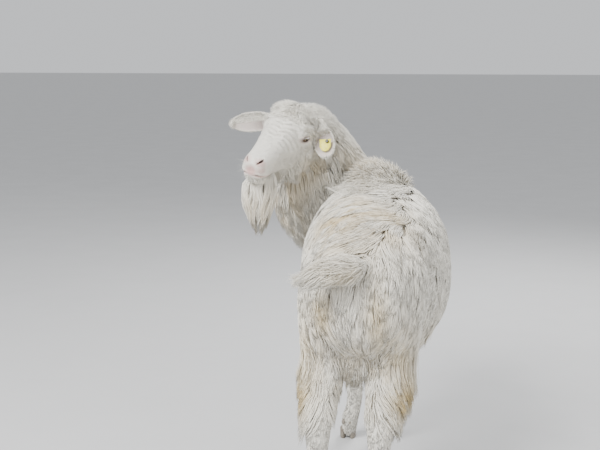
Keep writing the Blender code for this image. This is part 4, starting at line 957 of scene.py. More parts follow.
def growPaths(tree, roots, normals, name, rng):
    density, length, _, _, lift, hang, wave, clump, close, rings = coat[name]
    lie = lies.get(name, bodyLie)
    count = len(roots)
    size = rng.uniform(0.75, 1.2, count)
    length = length * sizeAt(name, roots)
    lift = lift * sizeAt(name, roots)
    # every tuft follows the nearest of a few guide tufts towards its tip
    share = min(1.0, 1.0 / (density * clump * clump))
    guides = np.flatnonzero(rng.random(count) < share)
    if len(guides) == 0:
        guides = np.array([0])
    index = kdtree.KDTree(len(guides))
    for i, g in enumerate(guides):
        index.insert(roots[g], i)
    index.balance()
    owner = np.array([index.find(p)[1] for p in roots])
    phase = rng.uniform(0, 2 * math.pi, len(guides))[owner] + rng.uniform(-0.5, 0.5, count)
    tone = np.clip(rng.random(len(guides))[owner] * 0.65 + rng.random(count) * 0.35, 0, 1)
    size = size * (0.6 + 0.4 * rng.uniform(0.85, 1.15, len(guides))[owner])
    shares = np.linspace(0, 1, rings + 1)
    place, normal = roots.copy(), normals.copy()
    path, ups = [roots - normals * sunkRoot], [normals]
    pull = np.tile(pulls.get(name, hanging), (count, 1))
    pull[:, 0] += outward.get(name, 0) * np.sign(roots[:, 0])
    if name == "mane":
        # upright in the middle, and lying down into the back's hair at its rear and left edges
        rise = np.clip(roots[:, 1] / 0.18, 0.05, 1) * np.clip((roots[:, 0] + 0.055) / 0.07, 0.15, 1)
        pull *= rise[:, None]
    for k in range(1, rings + 1):
        course = lie(place, normal)
        step = (length * size * (shares[k] - shares[k - 1]))[:, None]
        if shares[k] > 1 - hang + 1e-6:
            place = place + unit(course + pull + rng.normal(0, untidy.get(name, usualStray), (count, 3))) * step
        else:
            place, normal = snap(tree, place + course * step)
        rise = lift * (1 - (1 - shares[k]) ** 2) * rng.uniform(0.75, 1.1, count)
        side = np.cross(course, normal)
        sway = wave * np.sin(phase + 4.2 * shares[k]) * shares[k]
        path.append(place + normal * rise[:, None] + side * sway[:, None])
        ups.append(normal)
    path = np.stack(path, 1)
    lead = path[guides][owner]
    closing = (close * shares ** 1.3)[None, :, None]
    path = path + (lead - path) * closing
    return path, np.stack(ups, 1), size, tone


def tuftMesh(name, path, ups, width, thick, tone, roots, wrap, marks=None, bright=usualRootLight):
    # three-sided tufts, flat below and ridged above, that end in a point
    count, stations, _ = path.shape
    rings = stations - 1
    shape = np.array(tuftShape[rings])
    along = np.empty_like(path)
    along[:, 1:-1] = path[:, 2:] - path[:, :-2]
    along[:, 0] = path[:, 1] - path[:, 0]
    along[:, -1] = path[:, -1] - path[:, -2]
    along /= np.maximum(np.linalg.norm(along, axis=2), 1e-9)[..., None]
    across = np.cross(along, ups)
    across /= np.maximum(np.linalg.norm(across, axis=2), 1e-9)[..., None]
    top = np.cross(across, along)
    half = (width[:, None] * shape[None] / 2)[..., None]
    deep = thick * (0.6 + 0.4 * shape)[None, :, None]
    body = path[:, :-1]
    points = np.stack([body - across[:, :-1] * half - top[:, :-1] * deep * 0.35,
                       body + across[:, :-1] * half - top[:, :-1] * deep * 0.35,
                       body + top[:, :-1] * deep * 0.65], 2).reshape(count, rings * 3, 3)
    points = np.concatenate([points, path[:, -1:]], 1)
    each = rings * 3 + 1
    tip = each - 1
    faces = [(0, 2, 1), (tip - 3, tip - 2, tip), (tip - 2, tip - 1, tip), (tip - 1, tip - 3, tip)]
    for start in range(0, tip - 3, 3):
        for k in range(3):
            a, b = start + k, start + (k + 1) % 3
            faces += [(a, b, b + 3), (a, b + 3, a + 3)]
    faces = np.array(faces, np.int64)
    if volumeOf(points[:200], faces) < 0:
        faces = faces[:, ::-1]
    corners = (faces[None] + (np.arange(count) * each)[:, None, None]).reshape(-1).astype(np.int32)
    mesh = bpy.data.meshes.new(name)
    mesh.vertices.add(count * each)
    mesh.vertices.foreach_set("co", (points.reshape(-1, 3) + np.array(shift)).astype(np.float32).ravel())
    mesh.loops.add(len(corners))
    mesh.loops.foreach_set("vertex_index", corners)
    total = len(corners) // 3
    mesh.polygons.add(total)
    mesh.polygons.foreach_set("loop_start", np.arange(total, dtype=np.int32) * 3)
    mesh.polygons.foreach_set("loop_total", np.full(total, 3, np.int32))
    shadeSmooth(mesh)
    shares = np.linspace(0, 1, stations)
    alongValue = np.append(np.repeat(shares[:-1], 3), 1.0)
    acrossValue = np.append(np.tile((0.0, 1.0, 0.5), rings), 0.5)
    # along sets the painted root shade: from bright at the root up to 1 at the tip
    setFloats(mesh, "along", np.tile(bright + (1 - bright) * alongValue, count))
    setFloats(mesh, "tone", np.repeat(tone, each))
    streak = np.stack([np.repeat(tone * 97, each) + np.tile(acrossValue * 2.6, count),
                       np.tile(alongValue * 2.2, count), np.repeat(tone * 31, each)], 1)
    setVectors(mesh, "streak", streak)
    marks = marks or marksOf(points.reshape(-1, 3))
    for mark, values in marks.items():
        setFloats(mesh, mark, values)
    # each tuft has a small patch of the map, at its root's place on the animal
    place = wrap(roots)
    low, high = place.min(0), place.max(0)
    place = 0.004 + 0.992 * (place - low) / np.maximum(high - low, 1e-6)
    patch = np.stack([acrossValue, alongValue], 1) - 0.5
    spot = np.repeat(place, each, 0) + 0.003 * np.tile(patch, (count, 1))
    uv = mesh.uv_layers.new(name="OFBake")
    uv.data.foreach_set("uv", np.clip(spot, 0, 1)[corners].astype(np.float32).ravel())
    mesh.update()
    mesh.validate()
    return mesh


def volumeOf(points, faces):
    a, b, c = (points[:, faces[:, k]] for k in range(3))
    centre = points.mean(1)[:, None, :]
    return float((np.cross(a - centre, b - centre) * (c - centre)).sum())


def trunkWrap(points):
    x, y, z = points.T
    return np.stack([np.arctan2(x - np.interp(y, spineY, spineX), z - 0.69), y], 1)


def neckWrap(points):
    gaps = np.linalg.norm(points[:, None, :] - neckMiddles[None], axis=2)
    i = gaps.argmin(1)
    offset = points - neckMiddles[i]
    return np.stack([np.arctan2(offset[:, 0] + offset[:, 1], offset[:, 2]), i + gaps.min(1) * 0.5], 1)


def headWrap(points):
    q = inHead(points)
    return np.stack([np.arctan2(q[:, 1], q[:, 2] + 0.03), q[:, 0]], 1)


def legWrap(points):
    x, y, z = points.T
    legRow = (y > 0) * 2 + (x > 0)
    middle = np.where(y > 0, 0.245, np.interp(z, [0.1, 0.32, 0.5, 0.7], [-0.453, -0.467, -0.345, -0.36]))
    centreX = np.where(x > 0, np.where(y > 0, 0.04, 0.09), -0.09)
    return np.stack([legRow * 7 + np.arctan2(x - centreX, y - middle), z], 1)


def tailWrap(points):
    x, y, z = points.T
    return np.stack([np.arctan2(z - 0.80, y + 0.53), x], 1)


pieceGroups = {
    "coat_back": (("back",), trunkWrap), "coat_flank": (("flank", "belly"), trunkWrap),
    "coat_rump": (("rump", "thigh"), trunkWrap), "coat_breeches": (("breeches", "inside"), legWrap),
    "coat_breast": (("breast", "mane"), trunkWrap), "coat_neck": (("neck", "throat", "crest"), neckWrap),
    "coat_head": (("poll", "nape", "cheek", "jaw", "chin"), headWrap), "coat_face": (("face", "bridge"), headWrap),
    "coat_tail": (("tail",), tailWrap), "coat_shanks": (("shank",), legWrap),
}
largestPiece = 185000          # triangles; a region with more is split into several pieces
lowestHair = 0.004


def dressed(name, mesh, material, slot, *replaced):
    obj = newObject(name, mesh)
    mesh.materials.clear()
    mesh.materials.append(material)
    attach(obj, "root")
    if replaced:
        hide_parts(*replaced)
    return obj


rng = np.random.default_rng(11)
_, skinCorners, faceArea, faceNormal, skinTree = trianglesOf(skin.data)
faceRegion = regionsOf(sum(skinCorners) / 3, faceNormal)
print("area of the skin:", round(float(faceArea.sum()), 3))


def rootsIn(name):
    chosen = np.flatnonzero(faceRegion == name)
    area = faceArea[chosen]
    count = int(coat[name][0] * area.sum())
    if count < 3:
        return np.empty((0, 3)), np.empty((0, 3))
    pick = chosen[rng.choice(len(chosen), count, p=area / area.sum())]
    return scattered(skinCorners, pick), faceNormal[pick]


coatTriangles = 0
for pieceName, (names, wrap) in pieceGroups.items():
    for name in names:
        roots, normals = rootsIn(name)
        if len(roots) == 0:
            continue
        path, ups, size, tone = growPaths(skinTree, roots, normals, name, rng)
        path[..., 2] = np.maximum(path[..., 2], lowestHair)
        _, _, width, thick, *_, rings = coat[name]
        perTuft = 4 + 6 * (rings - 1)          # triangles
        parts = math.ceil(len(roots) * perTuft / largestPiece)
        order = np.argsort(roots[:, 0] if name in ("back", "flank", "rump", "thigh") else roots[:, 2])
        for i, chosen in enumerate(np.array_split(order, parts)):
            label = f"{pieceName}_{name}" + (f"_{i + 1}" if parts > 1 else "")
            mesh = tuftMesh(label, path[chosen], ups[chosen], width * size[chosen], thick, tone[chosen],
                            roots[chosen], wrap, bright=rootLight.get(name, usualRootLight))
            dressed(label, mesh, coatMaterial, "coat")
            coatTriangles += len(mesh.polygons)
    print(pieceName, "coat triangles so far:", coatTriangles)


# The skin takes the same marks and painted shade, with streaks along the lie of its short hair
points, normals = readPoints(skin.data)
for mark, values in marksOf(points).items():
    setFloats(skin.data, mark, values)
q = inHead(points)
onHead = headSide(points)
streak = np.where(onHead[:, None], q * (90, 700, 700), points * (500, 500, 60))
setVectors(skin.data, "streak", streak)
# painted root shade on the skin: hardly any on the face and below 0.40, a little elsewhere
short = onHead & (q[:, 0] > -0.01) | (points[:, 2] < 0.40)
setFloats(skin.data, "along", np.where(short, 0.95, 0.75))
setFloats(skin.data, "tone", np.full(len(points), 0.4))
skin.data.transform(Matrix.Translation(shift))
shadeSmooth(skin.data)
skin.data.materials.clear()
skin.data.materials.append(skinMaterial)
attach(skin, "root")
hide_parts("torso", "neck", "head", "tail", "fore_leg_left", "fore_leg_right", "hind_leg_left",
            "hind_leg_right", *[n for n in nodes if n.startswith("hind_shank")])


# Beard

beard = {
    "strands": 3400, "clumps": 34, "length": 0.214, "width": 0.0030, "thick": 0.0012, "close": 0.32,
    "root": (0.112, 0.0, -0.098),
    # share of the length, half width across, half depth, drift of the middle in X and Y
    "shape": [(0.00, 0.036, 0.028, 0.000, 0.000), (0.14, 0.052, 0.038, -0.004, 0.002),
              (0.32, 0.060, 0.042, -0.010, 0.006), (0.55, 0.060, 0.040, -0.014, 0.010),
              (0.78, 0.052, 0.034, -0.015, 0.012), (1.00, 0.028, 0.020, -0.014, 0.012)],
}


def makeBeard():
    count, clumps, stations = beard["strands"], beard["clumps"], 8
    angle, radius = rng.uniform(0, 2 * math.pi, count), np.sqrt(rng.random(count))
    u, v = np.cos(angle) * radius, np.sin(angle) * radius
    table = np.array(beard["shape"])
    chin = np.array(toHead @ Vector(beard["root"]))
    length = beard["length"] * (1 - 0.24 * radius ** 2) * rng.uniform(0.80, 1.03, count)
    clumpAngle = 2 * math.pi * np.arange(clumps) / clumps + rng.uniform(-0.15, 0.15, clumps)
    clumpRadius = np.where(np.arange(clumps) % 3 == 0, 0.35, 0.85)
    centres = np.stack([np.cos(clumpAngle) * clumpRadius, np.sin(clumpAngle) * clumpRadius], 1)
    owner = np.linalg.norm(np.stack([u, v], 1)[:, None] - centres[None], axis=2).argmin(1)
    phase = rng.uniform(0, 2 * math.pi, clumps)[owner] + rng.uniform(-0.4, 0.4, count)
    shares = np.linspace(0, 1, stations)
    path = np.empty((count, stations, 3))
    for k, t in enumerate(shares):
        wide, deep, x, y = (np.interp(t, table[:, 0], table[:, j]) for j in range(1, 5))
        pull = beard["close"] * t ** 1.2
        cu, cv = u + (centres[owner, 0] - u) * pull, v + (centres[owner, 1] - v) * pull
        sway = 0.0100 * np.sin(phase + 9.0 * t) * (0.2 + 0.8 * t)
        path[:, k, 0] = chin[0] + x + cu * wide - np.sin(angle) * sway
        path[:, k, 1] = chin[1] + y + cv * deep + np.cos(angle) * sway
        path[:, k, 2] = chin[2] - length * t
    roots, _ = snap(skinTree, path[:, 0])
    path[:, 0] = roots
    path[:, 1] = path[:, 1] * 0.7 + roots * 0.3 + (0, 0, -0.004)
    out = np.stack([np.cos(angle), np.sin(angle), 0 * angle], 1)
    ups = np.repeat(out[:, None], stations, 1)
    tone = np.clip(rng.random(clumps)[owner] * 0.6 + rng.random(count) * 0.4, 0, 1)
    size = rng.uniform(0.75, 1.2, count)
    return tuftMesh("coat_beard", path, ups, beard["width"] * size, beard["thick"], tone, path[:, 1], headWrap)


dressed("coat_beard", makeBeard(), coatMaterial, "coat")
print("beard made")


# Ears

def earAxes(name):
    _, along, opening, _, _ = ears[name]
    along = along.normalized()
    opening = (opening - along * opening.dot(along)).normalized()
    return along, along.cross(opening), opening


def earMiddle(name, share):
    along, _, opening = earAxes(name)
    root, _, _, length, bend = ears[name]
    return root + along * (length * share) + opening * (bend * length * share * share)


def earMesh(name):
    # the ear, how far each of its points is inside the cup, and its share of the length
    along, across, opening = earAxes(name)
    table = smoothRows(ears["outline"], 6)
    start, end = ears["cup"]
    half = ears["around"] // 2
    rings = []
    for share, width, depth in table:
        front = 1.0
        if share > start:
            fade = min(1.0, (share - start) / 0.12) * min(1.0, max(0.0, (end - share) / 0.04))
            front = 1.0 - fade * (2.0 - ears["wall"] / depth)
        narrow = width - (0.0016 if front < 0.9 else 0.0)
        middle = earMiddle(name, share)
        turns = [math.pi * k / half for k in range(half)]
        # behind from rim to rim, then in front and down into the cup
        ring = [middle + across * width * math.cos(turn) - opening * depth * math.sin(turn) for turn in turns]
        for turn in turns:
            lift = 0.0 if turn else ears["rim"]
            ring.append(middle - across * narrow * math.cos(turn) + opening * (depth * front * math.sin(turn) + lift))
        rings.append(ring)
    mesh = ringsMesh("ear_" + name, rings)
    inCup = [half + 1 < k < 2 * half - 1 for k in range(2 * half)]
    flags = np.tile(np.array(inCup, float), len(rings))
    shares = np.repeat(table[:, 0], 2 * half)
    flags *= np.clip((shares - start - 0.06) / 0.1, 0, 1) * np.clip((1.0 - shares) / 0.12, 0.2, 1)
    return mesh, flags, shares


def makeEar(side):
    mesh, inside, shares = earMesh(side)
    local, _ = readPoints(mesh)
    # white hair grows over the upper part of the cup, so the bare skin is a band below it
    rise = (local - np.array([earMiddle(side, s) for s in shares])) @ (headTurn.T @ (0, 0, 1))
    inside = inside * np.clip((ears["bareBelow"][side] - rise) / 0.008, 0, 1)
    setFloats(mesh, "pink", inside * (0.55 + 0.4 * np.clip(0.75 - shares, 0, 1)))
    for mark in ("cream_and_shade", "stain"):
        setFloats(mesh, mark, np.zeros(len(local)))
    # painted shade deep in the cup towards the root
    setFloats(mesh, "dark", 0.85 * inside * np.clip((0.62 - shares) / 0.45, 0, 1) ** 1.3)
    setFloats(mesh, "grey", inside * 0.45)
    # a lower along deep in the cup adds more painted root shade there
    setFloats(mesh, "along", 0.9 - 0.5 * inside * np.clip(0.6 - shares, 0, 1))
    setFloats(mesh, "tone", np.full(len(local), 0.3))
    axis = np.array(earAxes(side)[0])
    lengthwise = (local @ axis)[:, None] * axis
    setVectors(mesh, "streak", (local - lengthwise) * 900 + lengthwise * 90)
    mesh.transform(toHead)
    mesh.transform(Matrix.Translation(shift))
    shadeSmooth(mesh)
    dressed("ear_skin_" + side, mesh, earMaterial, "ear_skin", "ear_" + side)
    return mesh, inside


earHair = {"count": 3200, "lengths": (0.008, 0.014), "widths": (0.0012, 0.0020), "thick": 0.0006, "stray": 0.18,
           "inCup": 0.015, "lift": (0.001, 0.004)}


def earWrap(points):
    q = inHead(points)
    return q[:, [0, 1]] + q[:, [2, 2]] * 0.5


def earTufts(side, mesh, inside):
    # short hair behind and along the rim, and hardly any in the cup
    faces, corners, area, normal, _ = trianglesOf(mesh)
    inner = inside[faces].mean(1)
    weight = area * np.where(inner > 0.5, earHair["inCup"], 1.0)
    count = earHair["count"]
    pick = rng.choice(len(faces), count, p=weight / weight.sum())
    roots = scattered(corners, pick)
    n = normal[pick]
    way = np.array(headWay @ earAxes(side)[0])
    course = flat(np.tile(way, (count, 1)) + rng.normal(0, earHair["stray"], (count, 3)), n)
    length = rng.uniform(*earHair["lengths"], count)[:, None]
    path = np.stack([roots - n * 0.001, roots + course * length * 0.5 + n * 0.0012,
                     roots + course * length + n * rng.uniform(*earHair["lift"], (count, 1))], 1) - np.array(shift)
    each = 7          # points in a tuft of two rings
    marks = {name: np.zeros(count * each) for name in ("pink", "cream_and_shade", "stain", "dark")}
    marks["grey"] = np.repeat(np.where(inner[pick] > 0.5, 0.35, 0.0), each)
    width = rng.uniform(*earHair["widths"], count)
    tufts = tuftMesh("coat_ear_" + side, path, np.repeat(n[:, None], 3, 1), width, earHair["thick"],
                     rng.random(count), roots - np.array(shift), earWrap, marks)
    dressed("coat_ear_" + side, tufts, coatMaterial, "coat")


for side in ("left", "right"):
    earTufts(side, *makeEar(side))
print("ears made")


# Eyes

def eyeMaterial(side):
    material = bpy.data.materials.new("eye " + side)
    material.use_nodes = True
    tree = material.node_tree
    shader = tree.nodes["Principled BSDF"]
    place = node(tree, "ShaderNodeTexCoord").outputs["Object"]
    sign = 1 if side == "left" else -1
    centre = toHead @ onSide(head["eye"], sign) + shift
    look = Matrix.Rotation(sign * math.radians(-14), 3, "Z")
    turn = headWay @ look
    centred = node(tree, "ShaderNodeMapping", vector_type="TEXTURE")
    centred.inputs["Location"].default_value = centre
    centred.inputs["Rotation"].default_value = turn.to_euler()
    centred.inputs["Scale"].default_value = (head["eyeRadius"],) * 3
    link(tree, place, centred.inputs["Vector"])
    parts = node(tree, "ShaderNodeSeparateXYZ")
    link(tree, centred.outputs[0], parts.inputs[0])
    x, z = parts.outputs["X"], parts.outputs["Z"]
    radius = sums(tree, "SQRT", sums(tree, "ADD", sums(tree, "MULTIPLY", x, x), sums(tree, "MULTIPLY", z, z)), 0)
    rays = noiseOf(tree, centred.outputs[0], 9.0, 6.0)
    iris = ramp(tree, sums(tree, "ADD", radius, sums(tree, "MULTIPLY", rays, 0.10)), 0.78, 0.70)
    # a level slit with round ends
    powers = [sums(tree, "POWER", sums(tree, "ABSOLUTE", sums(tree, "DIVIDE", value, half), 0), 4.0)
              for value, half in ((x, 0.42), (z, 0.15))]
    slit = ramp(tree, sums(tree, "ADD", *powers), 1.3, 0.8)
    edge = node(tree, "ShaderNodeRGB")
    edge.outputs[0].default_value = (0.060, 0.038, 0.028, 1)
    amber = node(tree, "ShaderNodeMix", data_type="RGBA")
    amber.inputs["A"].default_value = (0.050, 0.022, 0.008, 1)
    amber.inputs["B"].default_value = (0.17, 0.085, 0.024, 1)
    link(tree, rays, amber.inputs["Factor"])
    dark = node(tree, "ShaderNodeRGB")
    dark.outputs[0].default_value = (0.004, 0.004, 0.005, 1)
    colour = blend(tree, iris, edge.outputs[0], amber.outputs["Result"])
    colour = blend(tree, slit, colour, dark.outputs[0])
    link(tree, colour, shader.inputs["Base Color"])
    link(tree, ramp(tree, rays, 0.3, 0.7, 0.05, 0.12), shader.inputs["Roughness"])
    shader.inputs["Coat Weight"].default_value = 0.8
    return material


for side in ("left", "right"):
    sign = 1 if side == "left" else -1
    radius = head["eyeRadius"] / head["size"]
    mesh = moved(ball("eye_ball_" + side, onSide(head["eye"], sign), (radius,) * 3, 48, 32), toHead)
    mesh.transform(Matrix.Translation(shift))
    shadeSmooth(mesh)
    dressed("eye_ball_" + side, mesh, eyeMaterial(side), "eye", "eye_" + side)
print("eyes made")


# Bristles on points that carry a way and a size: the eyelashes and the whiskers

def bristleTree():
    tree = bpy.data.node_groups.new("bristles", "GeometryNodeTree")
    face = tree.interface
    face.new_socket("Geometry", in_out="INPUT", socket_type="NodeSocketGeometry")
    for label, kind, value in (("Length", "NodeSocketFloat", 0.01), ("Radius", "NodeSocketFloat", 0.0002),
                               ("Bend", "NodeSocketFloat", 0.2), ("Seed", "NodeSocketInt", 3)):
        face.new_socket(label, in_out="INPUT", socket_type=kind).default_value = value
    face.new_socket("Material", in_out="INPUT", socket_type="NodeSocketMaterial")
    face.new_socket("Geometry", in_out="OUTPUT", socket_type="NodeSocketGeometry")
    inside, out = node(tree, "NodeGroupInput", (-900, 0)), node(tree, "NodeGroupOutput", (900, 0))
    cone = node(tree, "GeometryNodeMeshCone")
    cone.inputs["Vertices"].default_value = 5
    cone.inputs["Side Segments"].default_value = 4
    cone.inputs["Radius Top"].default_value = 0.00004
    link(tree, inside.outputs["Radius"], cone.inputs["Radius Bottom"])
    link(tree, inside.outputs["Length"], cone.inputs["Depth"])
    # bend: the further out, the further to one side
    where = node(tree, "GeometryNodeInputPosition")
    split = node(tree, "ShaderNodeSeparateXYZ")
    link(tree, where.outputs[0], split.inputs[0])
    ratio = sums(tree, "DIVIDE", split.outputs["Z"], inside.outputs["Length"])
    bent = sums(tree, "MULTIPLY", sums(tree, "MULTIPLY", ratio, split.outputs["Z"]), inside.outputs["Bend"])
    offset = node(tree, "ShaderNodeCombineXYZ")
    link(tree, bent, offset.inputs["X"])
    curved = node(tree, "GeometryNodeSetPosition")
    link(tree, cone.outputs["Mesh"], curved.inputs["Geometry"])
    link(tree, offset.outputs[0], curved.inputs["Offset"])
    way = node(tree, "GeometryNodeInputNamedAttribute", data_type="FLOAT_VECTOR")
    way.inputs["Name"].default_value = "way"
    size = node(tree, "GeometryNodeInputNamedAttribute", data_type="FLOAT")
    size.inputs["Name"].default_value = "size"
    turned = node(tree, "FunctionNodeAlignRotationToVector", axis="Z")
    link(tree, way.outputs["Attribute"], turned.inputs["Vector"])
    varied = node(tree, "FunctionNodeRandomValue", data_type="FLOAT")
    varied.inputs[2].default_value = 0.75
    varied.inputs[3].default_value = 1.15
    link(tree, inside.outputs["Seed"], varied.inputs["Seed"])
    scale = sums(tree, "MULTIPLY", size.outputs["Attribute"], varied.outputs[1])
    placed = node(tree, "GeometryNodeInstanceOnPoints")
    link(tree, inside.outputs["Geometry"], placed.inputs["Points"])
    link(tree, curved.outputs["Geometry"], placed.inputs["Instance"])
    link(tree, turned.outputs["Rotation"], placed.inputs["Rotation"])
    link(tree, scale, placed.inputs["Scale"])
    real = node(tree, "GeometryNodeRealizeInstances")
    link(tree, placed.outputs["Instances"], real.inputs["Geometry"])
    paint = node(tree, "GeometryNodeSetMaterial")
    link(tree, real.outputs["Geometry"], paint.inputs["Geometry"])
    link(tree, inside.outputs["Material"], paint.inputs["Material"])
    link(tree, paint.outputs["Geometry"], out.inputs["Geometry"])
    return tree


bristles = bristleTree()
bristleMaterial = plainMaterial("bristle", (0.80, 0.78, 0.74), 0.45, 300.0, 0.85, 0.2, 0.0002)


def makeBristles(name, roots, ways, sizes, settings):
    mesh = bpy.data.meshes.new(name)
    mesh.from_pydata([tuple(p) for p in roots], [], [])
    setVectors(mesh, "way", ways)
    setFloats(mesh, "size", sizes)
    obj = newObject(name, mesh)
    modifier = obj.modifiers.new("bristles", "NODES")
    modifier.node_group = bristles
    sockets = {item.name: item.identifier for item in bristles.interface.items_tree
               if item.item_type == "SOCKET" and item.in_out == "INPUT"}
    for label, value in {**settings, "Material": bristleMaterial}.items():
        modifier[sockets[label]] = value
    made = applied(obj, name)
    bpy.data.objects.remove(obj)
    shadeSmooth(made)
    obj = newObject(name, made)
    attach(obj, "root")
    return obj


def lashes():
    roots, ways, sizes = [], [], []
    shell = head["eyeRadius"] / head["size"] + head["lidThick"] - 0.0004
    height = head["slit"][2]
    for side in (1, -1):
        for k in range(34):
            turn = math.pi * (0.08 + 0.84 * k / 33)
            u, w = shell * 0.85 * math.cos(turn), height * 1.05 * math.sin(turn)
            root = Vector((u, side * (head["eye"].y + math.sqrt(shell ** 2 - u * u - w * w)), head["eye"].z + w))
            roots.append(toHead @ root + shift)
            ways.append(headWay @ Vector((0.25 + u * 30, side * 0.9, 0.55)))
            sizes.append(0.7 + 0.5 * math.sin(turn))
    return roots, ways, sizes


def whiskers():
    draw = random.Random(5)
    roots, ways, sizes = [], [], []
    while len(roots) < 64:
        side = draw.choice((1, -1))
        q = Vector((draw.uniform(0.125, 0.190), side * draw.uniform(0.015, 0.040), draw.uniform(-0.112, -0.060)))
        place, normal, _, _ = skinTree.find_nearest(toHead @ q)
        roots.append(place + shift - normal * 0.0005)
        ways.append(normal + headWay @ Vector((0.35, side * 0.3, -0.5)))
        sizes.append(draw.uniform(0.5, 1.1))
    return roots, ways, sizes


makeBristles("eyelashes", *lashes(), {"Length": 0.007, "Radius": 0.00022, "Bend": 0.35, "Seed": 3})
makeBristles("whiskers", *whiskers(), {"Length": 0.026, "Radius": 0.00025, "Bend": 0.25, "Seed": 8})
print("bristles made")


# Hooves

hoof = {"height": 0.036, "apart": 0.0152, "width": 0.0275, "lengths": (0.066, 0.067, 0.056), "rings": 9, "around": 40}


def clawMesh(name, x, y, side):
    rings = []
    for i in range(hoof["rings"] + 2):
        t = min(1.0, i / hoof["rings"])
        z = hoof["height"] * t + (0.001 if i == hoof["rings"] + 1 else 0)
        length = float(np.interp(t, (0, 0.17, 1), hoof["lengths"]))
        forward = float(np.interp(t, (0, 0.17, 1), (0.012, 0.011, 0.002)))
        grow = 1.0 - 0.02 * (i % 2) - (0.03 if i == 0 else 0) - (0.12 if i == hoof["rings"] + 1 else 0)
        ring = []
        for k in range(hoof["around"]):
            turn = 2 * math.pi * k / hoof["around"]
            c, s = math.cos(turn), math.sin(turn)
            bulge = 1.0 if c * side > 0 else 0.55
            taper = 1.0 - 0.35 * max(s, 0.0) ** 2
            ring.append(Vector((x + 0.5 * hoof["width"] * c * bulge * taper * grow,
                                y + forward + 0.5 * length * s * grow, z)))
        rings.append(ring)
    return ringsMesh(name, rings)


hornMaterial = plainMaterial("horn", (0.17, 0.14, 0.11), 0.55, 60.0, 0.5, 0.6, 0.0012, second=(0.30, 0.27, 0.22))
hornTree = hornMaterial.node_tree
hornPlace = node(hornTree, "ShaderNodeTexCoord").outputs["Object"]
rings = node(hornTree, "ShaderNodeTexWave", wave_type="BANDS", bands_direction="Z")
rings.inputs["Scale"].default_value = 60
rings.inputs["Distortion"].default_value = 1.2
link(hornTree, hornPlace, rings.inputs["Vector"])
link(hornTree, rings.outputs["Fac"], [n for n in hornTree.nodes if n.type == "BUMP"][0].inputs["Height"])

for leg, line in legs["lines"].items():
    kind, which = leg.split("_")
    footX, footY = line[0][1], legs[kind][-1][1]
    work = bmesh.new()
    for side in (-1, 1):
        mesh = clawMesh("claw", footX + side * hoof["apart"], footY, side)
        work.from_mesh(mesh)
        bpy.data.meshes.remove(mesh)
        # the small claw behind the pastern
        dew = ball("dew", (footX + side * 0.012, footY - 0.040, 0.072), (0.0062, 0.0075, 0.0105), 16, 10)
        work.from_mesh(dew)
        bpy.data.meshes.remove(dew)
    mesh = bpy.data.meshes.new("hoof_" + leg)
    work.to_mesh(mesh)
    work.free()
    mesh.transform(Matrix.Translation(shift))
    shadeSmooth(mesh)
    mesh.set_sharp_from_angle(angle=math.radians(50))
    claws = [f"{kind}_claw_{which}_{part}" for part in ("inner", "outer")]
    dressed("hoof_" + leg, mesh, hornMaterial, "hoof_horn", *claws)
print("hooves made")


# Ear tag: a plate in front of the left ear, its button behind, and the stud on its pin

tag = {"width": 0.038, "height": 0.042, "lean": -14, "top": 0.0085, "drop": 0.007}


def tagAxes():
    along, _, opening = earAxes("left")
    turn = toHead.to_3x3()
    out = (turn @ opening).normalized()
    down = (turn @ along).normalized()
    return out, down, out.cross(down).normalized()


def levelsOf(nodeName, out):
    values = [out.dot(v.co) for v in nodes[nodeName].data.vertices]
    return min(values), max(values)


def middleOf(nodeName):
    low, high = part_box(nodeName)
    return (low + high) / 2


def bevelled(name, mesh, width, segments, material, slot, node):
    obj = newObject(name, mesh)
    bevel = obj.modifiers.new("bevel", "BEVEL")
    bevel.width = width
    bevel.segments = segments
    bevel.limit_method = "ANGLE"
    bevel.angle_limit = math.radians(40)
    made = applied(obj, name)
    bpy.data.objects.remove(obj)
    shadeSmooth(made)
    made.set_sharp_from_angle(angle=math.radians(60))
    return dressed(name, made, material, slot, node)


def makeTag():
    out, down, across = tagAxes()
    stud = middleOf("tag_stud")
    low, high = levelsOf("tag_plate", out)
    base = stud - out * out.dot(stud)
    half, top = tag["width"] / 2, tag["top"]
    foot = top - tag["height"]
    corners = [(-1.0, top), (1.0, top), (1.0, foot * 0.50), (0.62, foot * 0.88), (0.22, foot),
               (-0.22, foot), (-0.62, foot * 0.88), (-1.0, foot * 0.50)]
    lean = math.radians(tag["lean"])
    c, s = math.cos(lean), math.sin(lean)
    flatPoints = [((half * u - tag["drop"]) * c - v * s, (half * u - tag["drop"]) * s + v * c) for u, v in corners]
    rings = [[base + out * level + across * u - down * v for u, v in flatPoints] for level in (low, high)]
    plate = ringsMesh("tag_sheet", rings)
    yellow = plainMaterial("tag yellow", (0.80, 0.72, 0.05), 0.42, 140.0, 0.82, 0.3, 0.0004)
    black = plainMaterial("tag black", (0.012, 0.012, 0.014), 0.38, 200.0, 0.6, 0.2, 0.0002)
    bevelled("tag_sheet", plate, 0.0005, 2, yellow, "tag_yellow", "tag_plate")
    turn = out.to_track_quat("Z", "Y").to_matrix().to_4x4()
    low, high = levelsOf("tag_stud", out)
    for name, replaced, radius, start, end, material, slot in (
            ("tag_rivet", "tag_stud", 0.0060, low, high + 0.0004, black, "tag_black"),
            ("tag_back", "tag_button", 0.0105, *backLevels(out), yellow, "tag_yellow")):
        mesh = bpy.data.meshes.new(name)
        work = bmesh.new()
        bmesh.ops.create_cone(work, cap_ends=True, segments=48, radius1=radius, radius2=radius * 0.94,
                              depth=end - start)
        work.transform(Matrix.Translation((0, 0, (start + end) / 2)))
        work.transform(Matrix.Translation(base) @ turn)
        work.to_mesh(mesh)
        work.free()
        bevelled(name, mesh, 0.0009, 3, material, slot, replaced)


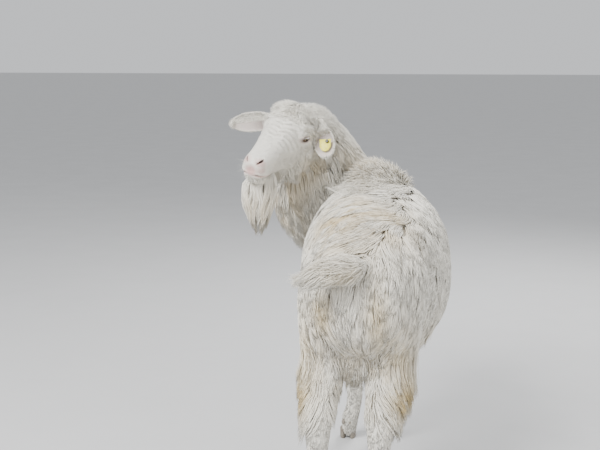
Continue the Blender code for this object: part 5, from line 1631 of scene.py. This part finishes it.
def backLevels(out):
    low, _ = levelsOf("tag_button", out)
    return low, low + 0.0022


makeTag()
print("tag made")


# Floor, light and camera

stage = {"floor": (0.56, 0.56, 0.56), "skyColour": (0.95, 0.97, 1.0), "sky": 0.80,
         "key": (Vector((-2.0, -3.0, 3.8)), 2.4, 400), "fill": (Vector((3.0, -2.4, 2.0)), 2.6, 60),
         "rim": (Vector((1.2, 3.0, 3.2)), 2.0, 150)}

floorMesh = bpy.data.meshes.new("floor")
work = bmesh.new()
bmesh.ops.create_grid(work, x_segments=1, y_segments=1, size=60)
work.to_mesh(floorMesh)
work.free()
floor = newObject("floor", floorMesh)
floorMaterial = plainMaterial("floor", stage["floor"], 0.75, 3.0, 0.97, 0.1, 0.001)
floorMesh.materials.append(floorMaterial)

world = bpy.data.worlds.new("studio")
world.use_nodes = True
world.node_tree.nodes["Background"].inputs["Color"].default_value = (*stage["skyColour"], 1)
world.node_tree.nodes["Background"].inputs["Strength"].default_value = stage["sky"]
bpy.context.scene.world = world
for name in ("key", "fill", "rim"):
    place, size, power = stage[name]
    lamp = bpy.data.lights.new(name, "AREA")
    lamp.shape = "DISK"
    lamp.size = size
    lamp.energy = power
    lampObject = bpy.data.objects.new(name, lamp)
    bpy.context.scene.collection.objects.link(lampObject)
    lampObject.location = place
    lampObject.rotation_euler = (Vector((0, 0, 0.75)) - place).to_track_quat("-Z", "Y").to_euler()

view = {"place": Vector((0.327, -3.201, 1.396)), "yaw": 9.9, "down": 9.85, "lens": 60, "sensor": 36}
yaw, pitch = math.radians(view["yaw"]), math.radians(view["down"])
forward = Vector((-math.sin(yaw) * math.cos(pitch), math.cos(yaw) * math.cos(pitch), -math.sin(pitch)))
camera = bpy.data.objects.new("camera", bpy.data.cameras.new("camera"))
bpy.context.scene.collection.objects.link(camera)
camera.location = view["place"] + shift
camera.rotation_euler = forward.to_track_quat("-Z", "Y").to_euler()
camera.data.lens = view["lens"]
camera.data.sensor_width = view["sensor"]
bpy.context.scene.camera = camera
